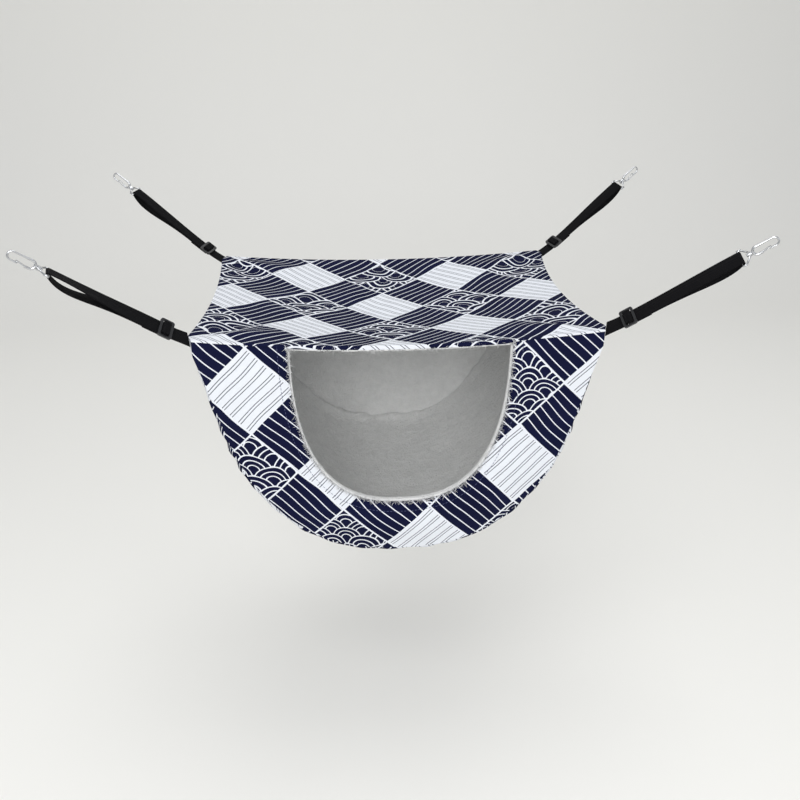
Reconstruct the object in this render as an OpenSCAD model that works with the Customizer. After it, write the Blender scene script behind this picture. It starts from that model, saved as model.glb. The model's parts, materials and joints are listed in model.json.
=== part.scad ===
// Hanging den for a cat: a printed canvas body with a plush lining, hung by four webbing straps
// from the bars of a cage. Millimetres, +Z up, the mouth faces -Y.
// The origin lies in the hanging plane, midway between the bends of the four hooks.

/* [Fabric body] */
// Width of the roof across its corners
roof_w = 468; // [430:2:510]
// Depth of the roof across its corners
roof_d = 348; // [320:2:380]
// Depth of the den below the middle of the roof's front edge
front_drop = 262; // [240:1:290]
// Depth of the den below the middle of the roof's rear edge
back_drop = 252; // [230:1:280]
// How far the roof's side seams curve inwards
side_curve = 16; // [5:1:26]
// Outward swell of the belly behind the front seam
belly_swell = 10; // [0:1:16]
// Outward crown of the front panel
front_crown = 8; // [0:1:14]
// Outward crown of the back panel
back_crown = 6; // [0:1:14]

/* [Roof] */
// Sag of the roof's front edge
sag_front = 17; // [5:1:28]
// Sag of the roof's rear edge
sag_rear = 10; // [4:1:24]
// Sag of the roof's side seams
sag_side = 7; // [0:1:16]
// Extra sag in the middle of the roof
sag_middle = 12; // [0:1:30]
// Height of the folds that run in from the pulled corners
fold_height = 5; // [0:0.5:8]
// Distance from a corner at which its folds stand highest
fold_reach = 95; // [60:5:130]

/* [Mouth] */
// Width of the mouth
mouth_w = 250; // [200:2:290]
// Height of the mouth below the roof's front edge
mouth_h = 192; // [150:1:210]
// How far the plush shows past the cover round the mouth
plush_peek = 2; // [0:0.5:4]

/* [Cloth layers] */
// Thickness of the printed canvas
canvas_t = 1.2; // [0.8:0.1:1.8]
// Thickness of the plush with its pile
plush_t = 5; // [3:0.5:7]
// Gap between two layers of cloth
layer_gap = 0.4; // [0.3:0.05:0.6]
// Gap between the edge of a panel's lining and the wall it meets
seam_gap = 0.8; // [0.4:0.1:1.2]

/* [Webbing] */
// Width of the blunt corner that the webbing is sewn into
corner_w = 20; // [16:1:26]
// Width of the webbing
web_w = 15; // [12:1:20]
// Thickness of the webbing
web_t = 1.2; // [1:0.1:1.6]
// Length of the strap from the sewn corner to the bar of its ring
strap_reach = 157; // [140:1:220]
// Turn of a strap in plan, out of the X direction
strap_turn = 20; // [5:1:35]
// Rise of a strap above the horizontal
strap_rise = 35; // [20:1:50]
// Roll of the front straps at the slider, faces tipped forwards
front_roll = 45; // [0:1:60]
// Roll of the rear straps at the slider, faces tipped forwards
rear_roll = 12; // [0:1:60]
// Roll of each ring: front left, front right, rear left, rear right
ring_rolls = [10, 45, 12, 25]; // [0:1:60]
// Sag of the loop's lower run
loop_slack = 7; // [0:1:14]
// Length of the sewn end that folds back from the slider
sewn_end = 24; // [18:1:36]
// How far the strap's axis lies below the corner of the roof
root_drop = 4; // [2:0.5:8]
// Gap between the strap's end and the corner it is sewn to
sew_gap = 0.4; // [0.3:0.05:0.6]

/* [Slider] */
// Distance from the sewn corner to the middle of the slider
slider_at = 28; // [22:1:60]
// Length of the slider along the strap
slider_l = 16; // [15:0.5:22]
// Thickness of the slider
slider_t = 2.6; // [2.2:0.1:3.6]
// Width of the slider's middle bar
slider_bar = 2.6; // [2.2:0.1:3.6]
// Length of each slot along the strap
slider_slot = 3.7; // [3.5:0.1:4.5]
// Width of the slider's frame beside the webbing
slider_cheek = 2.4; // [2:0.1:4]
// Corner radius of the slider
slider_round = 2.5; // [1:0.5:4]
// Corner radius of the slider's slots
slot_round = 1; // [0.5:0.1:1.8]
// Gap between the webbing and a bar or another run of webbing
web_gap = 0.3; // [0.2:0.05:0.35]

/* [Ring] */
// Wire diameter of the ring
ring_wire = 2; // [1.6:0.1:2.6]
// Distance from the ring's bar to the near face of its collar
ring_h = 8; // [7.5:0.5:12]
// Outer diameter of the collar
collar_d = 5.6; // [5:0.1:7]
// Length of the collar
collar_l = 3.5; // [3:0.5:6]
// Room beside the webbing in the ring
ring_room = 1; // [0.5:0.1:3]

/* [Hook] */
// Wire diameter of the hook's stem, bend and nose
hook_wire = 2.2; // [1.8:0.1:2.6]
// Diameter of the hook's thicker base
hook_base = 3; // [2.8:0.1:3.8]
// Radius of the hook's bend, to the middle of the wire
bend_r = 4.4; // [4.2:0.1:6]
// Length of the stem between the base's curve and the bend
stem_l = 18; // [17:0.5:28]
// Length of the straight nose
nose_l = 6; // [5:0.5:7]
// Diameter of the swivel post
post_d = 2.6; // [2.2:0.1:3]
// Diameter of the post's head
head_d = 4.4; // [4:0.1:5]
// Thickness of the post's head
head_t = 1.4; // [1:0.1:2]
// Radial clearance of a turning fit
turn_gap = 0.06; // [0.03:0.01:0.1]
// End clearance of the swivel
end_gap = 0.25; // [0.15:0.05:0.4]
// Wire diameter of the gate
gate_wire = 1; // [0.9:0.1:1.2]
// Gap between the gate and the nose or the base
gate_gap = 0.25; // [0.15:0.05:0.4]

/* [Hidden] */
$fn = 48;
CORNERS = ["front_left", "front_right", "rear_left", "rear_right"];
CORNER_PARTS = ["strap_tail", "strap_loop", "slider", "ring", "hook", "gate"];
PANELS = ["roof_cover", "roof_lining", "belly_cover", "belly_lining",
          "front_cover", "front_lining", "back_cover", "back_lining"];

CANVAS = "#2a2f66";
PLUSH = "#b4b8bb";
WEBBING = "#1b1b1e";
GLOSS_BLACK = "#101012";
NICKEL = "#c8cbcf";

// Outline powers of the den's section at the front and the back seam, and of the mouth
front_power = [2.6, 1.55];
back_power = [3, 0.75];
mouth_power = 2.6;
// How fast the roof's side curve fades down the wall, and the swell grows behind a seam
curve_fade = 6;
swell_rate = 0.6;
// Where the front panel's crown starts at the mouth's lip
lip_share = 0.15;
// How fast the front panel's crown fades up towards the corners
crown_fade = 0.8;
// Gain that brings the folds near a corner to their full height, and the width of the flat seam
// allowance from which they rise
fold_gain = 4;
fold_edge = 45;
// Turn of the section up to which the belly's cover and lining share their columns
level_turn = 60;

// Cells across each panel: along the first and the second way of its grid
roof_grid = 22;
wall_grid = 26;
mouth_grid = 30;
band_grid = 4;
back_grid = 22;
back_rows = 6;
depth_cells = 8;

// Blunt corners, where the webbing is sewn in square to its own line
cut_x = corner_w * sin(strap_turn);
cut_y = corner_w * cos(strap_turn);

// Stations along a strap, measured from its sewn end: ring, swivel and hook
hook_base_at = strap_reach + ring_h + collar_l + end_gap;
base_at = hook_base_at + hook_base / 2 + bend_r;
bend_at = base_at + stem_l;

// The sewn end of a strap, and the top of the roof's corner
root_x = roof_w / 2 - cut_x / 2;
root_y = roof_d / 2 - cut_y / 2;
root_z = -bend_at * sin(strap_rise);
corner_z = root_z + root_drop;

// Room that the roof's layers take above the covers and above the linings
cover_head = canvas_t + layer_gap;
lining_head = cover_head + plush_t + seam_gap;
// How far in from the seams the panels' linings and the belly's lining start, and how far in the
// front lining's edge lies where the side walls curve in behind it
panel_set = canvas_t + seam_gap;
wall_set = panel_set + plush_t + layer_gap;
edge_set = panel_set + side_curve * hump(wall_set / roof_d);

// Levels of the webbing at the slider: running, wrapped round the middle bar, and sewn back
run_under = -(slider_t / 2 + web_gap + web_t / 2);
run_over = slider_t / 2 + 2 * web_gap + 1.5 * web_t;
run_slot = slider_bar / 2 + 2 * web_gap + 1.5 * web_t;
wrap_over = slider_t / 2 + web_gap + web_t / 2;
wrap_slot = slider_bar / 2 + web_gap + web_t / 2;
back_under = run_under - web_gap - web_t;
end_under = back_under - web_gap - web_t;
fold_room = 0.3;
web_fold = web_t / 2 + fold_room;
eye_r = ring_wire / 2 + web_gap + web_t / 2;
slider_lead = 3;
split_gap = 0.1;
loop_steps = 9;
arc_steps = 3;

// Ring: half its width to the middle of the wire, where its sides bend in past the webbing and run
// into the collar, and the thicker cheeks beside the webbing
ring_half = web_w / 2 + ring_room + ring_wire / 2;
ring_knee = eye_r + web_t / 2 + web_gap;
side_proud = 0.3;
ring_tip = [ring_h + collar_l / 2, collar_d / 2 - ring_wire / 2 + side_proud];
cheek_d = ring_wire + 0.4;

// Gate: pivot, side offset, the place where it rests on the nose, the radius of its bends and its pins
pivot_in = 2.4;
pivot_at = base_at + pivot_in;
lobe_end = pivot_in + gate_wire;
gate_side = hook_base / 2 + gate_gap + gate_wire / 2;
gate_end = bend_at - nose_l + gate_wire;
gate_seat = -bend_r + hook_wire / 2 + gate_gap + gate_wire / 2;
gate_bend = 0.9;
pin_in = gate_wire / 2;

// Values between two ends, and a hump that is 0 at both ends
function mix(a, b, t) = a + (b - a) * t;
function hump(t) = 4 * t * (1 - t);
function ease(t) = let (c = min(1, max(0, t))) c * c * (3 - 2 * c);

// Place of y between the front seam at 0 and the rear seam at 1
function along(y) = min(1, max(0, (y + roof_d / 2) / roof_d));
function roof_half(t) = roof_w / 2 - side_curve * hump(t);

// Keeps a point behind the blunt corners of a layer that lies inset within the seams
function blunt(x, y, inset) =
    let (share = min(1, max(0, 1 - (roof_d / 2 - abs(y)) / cut_y)))
    sign(x) * min(abs(x), roof_w / 2 - inset - cut_x * share);

// Height of the roof's seams, carried across the den
function seam_z(x, t) =
    corner_z - sag_side * hump(t) - mix(sag_front, sag_rear, t) * (1 - pow(x / roof_half(t), 2));

// Folds that fan out from the nearest corner and die away at the seams and the middle lines
function corner_folds(x, y) =
    let (dx = max(0, roof_half(along(y)) - abs(x)), dy = roof_d / 2 - abs(y))
    let (turn = atan2(dy, dx), far = norm([dx, dy]) / fold_reach)
    fold_height * sin(2 * turn) * sin(4 * turn) * far * exp(1 - far) * pow(2 * x / roof_w, 2)
    * pow(2 * y / roof_d, 2) * fold_gain * ease(dx / fold_edge) * ease(dy / fold_edge);

function roof_z(x, y) =
    let (t = along(y), rim = 1 - pow(x / roof_half(t), 2))
    seam_z(x, t) - sag_middle * hump(t) * rim * rim + corner_folds(x, y);

// A column of the roof's grid at y, and the height of the roof's facets there
function roof_column(i, y) = blunt((2 * i / roof_grid - 1) * roof_half(along(y)), y, 0);
function facet_z(x, y) =
    let (half = roof_half(along(y)))
    let (i = min(roof_grid - 1, max(0, floor((x / half + 1) * roof_grid / 2))))
    let (a = roof_column(i, y), b = roof_column(i + 1, y))
    mix(roof_z(a, y), roof_z(b, y), (x - a) / (b - a));

// Section of the den: turn runs from -90 at the left seam over 0 at the floor to 90 at the right
function section(t, turn, inset) =
    let (power = mix(front_power, back_power, t), fill = pow(hump(t), swell_rate))
    let (half = roof_w / 2 - side_curve * hump(t) * pow(abs(sin(turn)), curve_fade)
                + belly_swell * fill * cos(turn))
    let (drop = mix(front_drop, back_drop, t) + belly_swell * fill)
    [sign(turn) * (half - inset) * pow(abs(sin(turn)), 2 / power[0]),
     (drop - inset) * pow(cos(turn), 2 / power[1])];

// A point of cloth at a depth below the seam line, kept under the layers of the roof
function hung(x, y, t, depth, head) =
    [x, y, min(seam_z(x, t) - cover_head - depth, facet_z(x, y) - head)];

// The linings of roof and belly meet where the section is as deep as the roof's lining: the turn
// there, half the roof lining's width, and the turns of the belly lining's columns
function head_turn(t) =
    acos(pow((plush_t + seam_gap) / back_drop, mix(front_power, back_power, t)[1] / 2));
function lining_half(t) = section(t, head_turn(t), panel_set)[0];
function lining_turn(t, turn) =
    let (share = max(0, abs(turn) - level_turn) / (90 - level_turn))
    sign(turn) * mix(min(abs(turn), level_turn), head_turn(t), share);

function wall_point(y, turn, inset, head) =
    let (t = along(y), at = section(t, turn, inset))
    hung(blunt(at[0], y, inset), y, t, at[1], head);

// The rim of the mouth, as its place across and its depth
function mouth_rim(turn) =
    [sign(turn) * mouth_w / 2 * pow(abs(sin(turn)), 2 / mouth_power),
     mouth_h * pow(cos(turn), 2 / mouth_power)];

// A point of the front panel: across runs from the mouth at 0 to the front seam at 1, and the
// panel's own edges lie past the rim by peek and within the seam by inset
function front_point(turn, across, inset, peek, set, head) =
    let (rim = mouth_rim(turn), out = section(0, turn, 0), band = norm(out - rim))
    let (share = mix(-peek / band, 1 - inset / band, across))
    let (at = mix(rim, out, share), y = -roof_d / 2 + set)
    let (crown = front_crown * pow(cos(turn), crown_fade) * sin(180 * mix(lip_share, 1, share)))
    hung(blunt(at[0], y, inset), y, 0, at[1], head) - [0, crown, 0];

// A point of the back panel: across runs between the blunt corners, down from the roof to the seam
function back_point(across, down, inset, set, head) =
    let (half = roof_w / 2 - inset, x = sin(90 * across) * (half - cut_x))
    let (drop = (back_drop - inset) * pow(1 - pow(abs(x) / half, back_power[0]), 1 / back_power[1]))
    let (y = roof_d / 2 - set + back_crown * sin(180 * down) * cos(90 * across))
    [x, y, mix(facet_z(x, roof_d / 2 - set) - head, seam_z(x, 1) - cover_head - drop, down)];

// Rows of the body from front to back, with one at each lining's edge and one at each end of the
// blunt corners
function depth_rows(set) =
    let (turn = roof_d / 2 - cut_y, edges = [for (s = [0, panel_set, wall_set]) if (s > set) roof_d / 2 - s])
    let (outer = concat([roof_d / 2 - set], edges), last = len(outer) - 1)
    concat(-outer, [for (k = [0:depth_cells]) mix(-turn, turn, k / depth_cells)],
        [for (k = [0:last]) outer[last - k]]);

// A sheet of cloth between two grids of points, the upper one on the side its normal points to
module sheet(upper, lower) {
    ni = len(upper);
    nj = len(upper[0]);
    points = concat([for (row = upper) each row], [for (row = lower) each row]);
    function top(i, j) = i * nj + j;
    function low(i, j) = ni * nj + i * nj + j;
    cells = [for (i = [0:ni - 2]) for (j = [0:nj - 2]) [i, j]];
    skin = [for (c = cells) let (i = c[0], j = c[1]) each [
        [top(i, j), top(i + 1, j + 1), top(i + 1, j)],
        [top(i, j), top(i, j + 1), top(i + 1, j + 1)],
        [low(i, j), low(i + 1, j), low(i + 1, j + 1)],
        [low(i, j), low(i + 1, j + 1), low(i, j + 1)]]];
    sides = [for (i = [0:ni - 2]) let (e = nj - 1) each [
        [top(i, 0), top(i + 1, 0), low(i + 1, 0)],
        [top(i, 0), low(i + 1, 0), low(i, 0)],
        [top(i + 1, e), top(i, e), low(i, e)],
        [top(i + 1, e), low(i, e), low(i + 1, e)]]];
    ends = [for (j = [0:nj - 2]) let (e = ni - 1) each [
        [top(0, j + 1), top(0, j), low(0, j)],
        [top(0, j + 1), low(0, j), low(0, j + 1)],
        [top(e, j), top(e, j + 1), low(e, j + 1)],
        [top(e, j), low(e, j + 1), low(e, j)]]];
    polyhedron(points, concat(skin, sides, ends), convexity = 6);
}

// Roof: a slung sheet, level with its seams along all four edges, and a lining along its facets
module roof_sheet(inset, set, head, thick) {
    function reach(y) = inset > 0 ? lining_half(along(y)) : roof_w;
    function column(i, y) = let (x = roof_column(i, y)) blunt(sign(x) * min(abs(x), reach(y)), y, inset);
    function grid(z) = [for (i = [0:roof_grid]) [for (y = depth_rows(set))
        let (x = column(i, y)) [x, y, facet_z(x, y) - z]]];
    sheet(grid(head), grid(head + thick));
}

module roof_cover() {
    color(CANVAS) roof_sheet(0, 0, 0, canvas_t);
}

module roof_lining() {
    color(PLUSH) roof_sheet(panel_set, panel_set, cover_head, plush_t);
}

// Belly: one strip down a side, under the floor and up the other side
module wall_sheet(inset, set, head, thick) {
    function turn(i, y) = let (full = 90 * (2 * i / wall_grid - 1))
        inset > 0 ? lining_turn(along(y), full) : full;
    function grid(inside) = [for (i = [0:wall_grid]) [for (y = depth_rows(set))
        wall_point(y, turn(i, y), inside, head)]];
    sheet(grid(inset + thick), grid(inset));
}

module belly_cover() {
    color(CANVAS) wall_sheet(0, canvas_t + layer_gap, cover_head, canvas_t);
}

module belly_lining() {
    color(PLUSH) wall_sheet(panel_set, wall_set, lining_head, plush_t);
}

// Front panel: a U-shaped band round the mouth
module front_sheet(inset, peek, set, head, thick) {
    function grid(back) = [for (i = [0:mouth_grid]) [for (k = [0:band_grid])
        front_point(90 * (2 * i / mouth_grid - 1), k / band_grid, inset, peek, set + back, head)]];
    sheet(grid(thick), grid(0));
}

module front_cover() {
    color(CANVAS) front_sheet(0, 0, 0, cover_head, canvas_t);
}

module front_lining() {
    color(PLUSH) front_sheet(edge_set, plush_peek, panel_set, lining_head, plush_t);
}

// Back panel
module back_sheet(inset, set, head, thick) {
    function grid(inside) = [for (i = [0:back_grid]) [for (k = [0:back_rows])
        back_point(2 * i / back_grid - 1, k / back_rows, inset, set + inside, head)]];
    sheet(grid(0), grid(thick));
}

module back_cover() {
    color(CANVAS) back_sheet(0, 0, cover_head, canvas_t);
}

module back_lining() {
    color(PLUSH) back_sheet(panel_set, panel_set, lining_head, plush_t);
}

// Which side of the den a corner is on: -1 left or front, 1 right or rear
function side_x(corner) = corner % 2 == 0 ? -1 : 1;
function side_y(corner) = corner < 2 ? -1 : 1;
function heading(corner) =
    side_x(corner) > 0 ? side_y(corner) * strap_turn : 180 - side_y(corner) * strap_turn;
function slider_roll(corner) = side_x(corner) * (corner < 2 ? front_roll : rear_roll);
function ring_roll(corner) = side_x(corner) * ring_rolls[corner];

// Frame of a strap: X runs out along it from its sewn end, Y is level, Z is its upper side
module at_corner(corner) {
    translate([side_x(corner) * root_x, side_y(corner) * root_y, root_z])
        rotate([0, -strap_rise, heading(corner)]) children();
}

// Roll of the webbing at a distance from its sewn end
function web_roll(corner, s) =
    let (from = slider_at + slider_l, to = strap_reach - slider_l / 2)
    mix(slider_roll(corner), ring_roll(corner), ease((s - from) / (to - from)));

// Webbing along a path of [distance, height], at the roll that the strap has there. A sewn start is
// cut flat, a sew gap away from the upright face of the corner.
module webbing(path, corner, sewn = false) {
    last = len(path) - 1;
    function way(k) = path[min(last, k + 1)] - path[max(0, k - 1)];
    function lift(k) = let (w = way(k)) [-w[1], w[0]] / norm(w) * web_t / 2;
    function cut_at(z) = (sew_gap + z * sin(strap_rise)) / cos(strap_rise);
    function laid(k, p, w) = let (r = web_roll(corner, p[0]), z = w * sin(r) + p[1] * cos(r))
        [sewn && k == 0 ? cut_at(z) : p[0], w * cos(r) - p[1] * sin(r), z];
    points = [for (k = [0:last]) let (u = path[k] + lift(k), d = path[k] - lift(k)) each [
        laid(k, u, -web_w / 2), laid(k, u, web_w / 2), laid(k, d, web_w / 2), laid(k, d, -web_w / 2)]];
    sides = [for (k = [0:last - 1]) for (c = [0:3])
        let (a = 4 * k + c, b = 4 * k + (c + 1) % 4) each [[a, b + 4, a + 4], [a, b, b + 4]]];
    ends = [[0, 2, 1], [0, 3, 2], [4 * last, 4 * last + 1, 4 * last + 2],
            [4 * last, 4 * last + 2, 4 * last + 3]];
    color(WEBBING) at_corner(corner) polyhedron(points, concat(sides, ends), convexity = 8);
}

function arc(middle, r, from, to, steps) =
    [for (k = [0:steps]) let (a = mix(from, to, k / steps)) middle + r * [cos(a), sin(a)]];

// A turn of the webbing through a quarter circle beside the slider's middle
function turn_at(side, level, rise, from, to) =
    arc([slider_at + side, level + rise * web_fold], web_fold, from, to, arc_steps);

// From the corner, under the slider's first bar and up over its middle
module strap_tail(corner) {
    near = slider_at - slider_l / 2 - slider_lead;
    webbing(concat([[sew_gap, 0], [near, run_under]],
        turn_at(-run_slot - web_fold, run_under, 1, -90, 0),
        turn_at(-run_slot + web_fold, run_over, -1, 180, 90),
        [[slider_at - split_gap, run_over]]), corner, sewn = true);
}

// Down through the slider, out round the ring, back round the middle bar and sewn to itself
module strap_loop(corner) {
    out = slider_at + slider_l / 2 + slider_lead;
    sewn = slider_at + sewn_end + slider_lead;
    upper = [for (k = [0:loop_steps - 1]) let (t = k / loop_steps)
        [mix(out, strap_reach, t), mix(run_under, eye_r, ease(t))]];
    lower = [for (k = [1:loop_steps]) let (t = k / loop_steps)
        [mix(strap_reach, sewn, t), mix(-eye_r, back_under, t) - loop_slack * pow(sin(180 * sqrt(t)), 2)]];
    webbing(concat([[slider_at + split_gap, run_over]],
        turn_at(run_slot - web_fold, run_over, -1, 90, 0),
        turn_at(run_slot + web_fold, run_under, 1, 180, 270),
        upper, arc([strap_reach, 0], eye_r, 90, -90, 3 * arc_steps), lower,
        turn_at(wrap_slot + web_fold, back_under, 1, 270, 180),
        turn_at(wrap_slot - web_fold, wrap_over, -1, 0, 90),
        turn_at(-wrap_slot + web_fold, wrap_over, -1, 90, 180),
        turn_at(-wrap_slot + web_fold, end_under, 1, 180, 270),
        [[slider_at + sewn_end, end_under]]), corner);
}

module round_plate(size, r) {
    for (x = [-1, 1]) for (y = [-1, 1])
        translate([x * (size[0] / 2 - r), y * (size[1] / 2 - r)]) circle(r);
    square([size[0] - 2 * r, size[1]], center = true);
    square([size[0], size[1] - 2 * r], center = true);
}

// Three-bar slider: a round-cornered frame with two slots beside its middle bar
module slider(corner) {
    inner_w = web_w + 2 * ring_room;
    slot_at = (slider_bar + slider_slot) / 2;
    color(GLOSS_BLACK) at_corner(corner) rotate([slider_roll(corner), 0, 0])
        translate([slider_at, 0, 0]) difference() {
            translate([0, 0, -slider_t / 2]) linear_extrude(slider_t)
                round_plate([slider_l, inner_w + 2 * slider_cheek], slider_round);
            for (x = [-1, 1])
                translate([x * slot_at, 0, -slider_t]) linear_extrude(2 * slider_t)
                    round_plate([slider_slot, inner_w], slot_round);
        }
}

// A straight rod between two points
module rod(from, to, d) {
    way = to - from;
    long = norm(way);
    translate(from) rotate([0, acos(way[2] / long), atan2(way[1], way[0])]) cylinder(d = d, h = long);
}

// A rod along the strap between two stations
module along_strap(from, to, d1, d2) {
    translate([from, 0, 0]) rotate([0, 90, 0]) cylinder(d1 = d1, d2 = d2, h = to - from);
}

// Half a ring of wire in the hook's plane, opening towards +X from the angle given
module half_bend(r, d, from) {
    rotate([90, 0, 0]) rotate([0, 0, from]) rotate_extrude(angle = 180) translate([r, 0]) circle(d = d);
}

// Ring of wire: its bar lies in the fold of the webbing, its collar holds the swivel
module ring(corner) {
    color(NICKEL) at_corner(corner) rotate([ring_roll(corner), 0, 0])
        translate([strap_reach, 0, 0]) difference() {
            union() {
                rod([0, -ring_half, 0], [0, ring_half, 0], ring_wire);
                for (y = [-1, 1]) {
                    translate([0, y * ring_half, 0])
                        along_strap(-cheek_d / 2, ring_knee + cheek_d / 2, cheek_d, cheek_d);
                    rod([ring_knee, y * ring_half, 0], [ring_tip[0], y * ring_tip[1], 0], ring_wire);
                }
                along_strap(ring_h, ring_h + collar_l, collar_d, collar_d);
            }
            bore = post_d + 2 * turn_gap;
            along_strap(0, ring_h + 2 * collar_l, bore, bore);
        }
}

// Snap hook: swivel post and head, thick curved base, stem, bend and nose in one piece
module hook(corner) {
    head_at = strap_reach + ring_h - end_gap;
    color(NICKEL) at_corner(corner) difference() {
        union() {
            along_strap(head_at - head_t, head_at, head_d, head_d);
            along_strap(head_at - head_t / 2, base_at - bend_r, post_d, post_d);
            translate([base_at, 0, 0]) half_bend(bend_r, hook_base, 90);
            translate([0, 0, bend_r]) along_strap(base_at, bend_at - stem_l / 2, hook_base, hook_wire);
            translate([0, 0, bend_r]) along_strap(bend_at - stem_l / 2, bend_at, hook_wire, hook_wire);
            translate([bend_at, 0, 0]) half_bend(bend_r, hook_wire, -90);
            translate([0, 0, -bend_r]) along_strap(bend_at - nose_l, bend_at, hook_wire, hook_wire);
            translate([bend_at - nose_l, 0, -bend_r]) sphere(d = hook_wire);
            translate([0, 0, -bend_r]) along_strap(base_at, base_at + lobe_end, hook_base, hook_base);
            translate([base_at + lobe_end, 0, -bend_r]) sphere(d = hook_base);
        }
        translate([pivot_at, hook_base, -bend_r]) rotate([90, 0, 0])
            cylinder(d = gate_wire + 2 * turn_gap, h = 2 * hook_base);
    }
}

// A quarter bend of the gate's wire, from the angle given
module elbow(from) {
    rotate([0, 0, from]) rotate_extrude(angle = 90) translate([gate_bend, 0]) circle(d = gate_wire);
}

// Gate: a sprung wire bail that turns in the base and rests on the inside of the nose
module gate(corner) {
    reach = [gate_end - pivot_at, gate_seat + bend_r];
    long = norm(reach);
    flank = gate_side - gate_bend;
    color(NICKEL) at_corner(corner) translate([pivot_at, 0, -bend_r])
        rotate([0, -atan2(reach[1], reach[0]), 0]) union() {
            for (y = [-1, 1]) {
                translate([0, y * pin_in, 0]) rotate([-90 * y, 0, 0])
                    cylinder(d = gate_wire, h = flank - pin_in);
                translate([gate_bend, y * flank, 0]) elbow(y > 0 ? 90 : 180);
                translate([0, y * gate_side, 0])
                    along_strap(gate_bend, long - gate_bend, gate_wire, gate_wire);
                translate([long - gate_bend, y * flank, 0]) elbow(y > 0 ? 0 : 270);
            }
            translate([long, flank, 0]) rotate([90, 0, 0]) cylinder(d = gate_wire, h = 2 * flank);
        }
}

roof_cover();
roof_lining();
belly_cover();
belly_lining();
front_cover();
front_lining();
back_cover();
back_lining();
for (corner = [0:3]) {
    strap_tail(corner);
    strap_loop(corner);
    slider(corner);
    ring(corner);
    hook(corner);
    gate(corner);
}
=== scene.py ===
"""Looks of a hanging den for a cat: printed canvas over grey plush, slung from four webbing straps."""
import json
import logging
import math
from dataclasses import dataclass
from enum import Enum
from typing import Sequence, Union

import bmesh
import bpy
import numpy as np
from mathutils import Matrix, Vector, noise


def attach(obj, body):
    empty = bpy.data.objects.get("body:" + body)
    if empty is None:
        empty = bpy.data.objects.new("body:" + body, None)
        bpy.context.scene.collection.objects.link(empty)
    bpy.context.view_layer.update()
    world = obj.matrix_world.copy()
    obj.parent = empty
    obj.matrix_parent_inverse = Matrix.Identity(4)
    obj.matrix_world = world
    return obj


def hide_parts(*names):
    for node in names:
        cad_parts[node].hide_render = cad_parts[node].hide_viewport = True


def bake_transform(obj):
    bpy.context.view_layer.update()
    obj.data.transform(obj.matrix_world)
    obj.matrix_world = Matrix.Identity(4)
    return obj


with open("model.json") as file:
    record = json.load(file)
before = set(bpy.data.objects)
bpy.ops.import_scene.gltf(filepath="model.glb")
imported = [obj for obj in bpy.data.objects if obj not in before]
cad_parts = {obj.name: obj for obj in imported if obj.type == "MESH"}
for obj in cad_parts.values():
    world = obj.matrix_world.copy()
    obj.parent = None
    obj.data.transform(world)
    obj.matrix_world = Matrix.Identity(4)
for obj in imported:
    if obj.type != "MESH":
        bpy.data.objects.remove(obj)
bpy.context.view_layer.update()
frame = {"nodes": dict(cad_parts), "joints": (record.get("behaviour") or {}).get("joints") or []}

LOG = logging.getLogger("den")
CLOTH_UV = "cloth"
TAU = 2.0 * math.pi
SHEET_SHARP = math.radians(50.0)

Colour = tuple[float, float, float, float]
Place = tuple[float, float, float]
Route = list[tuple[float, float]]
Numbers = Union[float, np.ndarray]
Inputs = dict[str, object]
Value = Union[float, "Sock"]


class Slot(Enum):
    """Material slots of the part's record."""

    CANVAS = "canvas"
    PLUSH = "plush"
    WEBBING = "webbing"
    SLIDER = "slider"
    NICKEL = "nickel"


class Corner(Enum):
    """The four corners of the roof, with the first letters that their bodies carry."""

    FRONT_LEFT = "fl"
    FRONT_RIGHT = "fr"
    REAR_LEFT = "rl"
    REAR_RIGHT = "rr"

    @property
    def place(self) -> str:
        """The corner's name as the nodes and joints carry it."""
        return self.name.lower()

    @property
    def side(self) -> int:
        """-1 on the left and 1 on the right."""
        return -1 if "LEFT" in self.name else 1

    @property
    def front(self) -> bool:
        """True beside the mouth."""
        return "FRONT" in self.name


def srgb(code: str) -> Colour:
    """Turns a display colour into a linear one, by the usual display curve.

    Args:
        code: six hexadecimal digits.

    Returns:
        The linear colour, fully opaque.
    """
    parts = [int(code[k:k + 2], 16) / 255.0 for k in (0, 2, 4)]
    linear = [c / 12.92 if c <= 0.04045 else ((c + 0.055) / 1.055) ** 2.4 for c in parts]
    return (linear[0], linear[1], linear[2], 1.0)


def toned(colour: Colour, share: float) -> Colour:
    """A colour made lighter or darker, as opaque as before."""
    return (colour[0] * share, colour[1] * share, colour[2] * share, colour[3])


# Node trees


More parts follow.
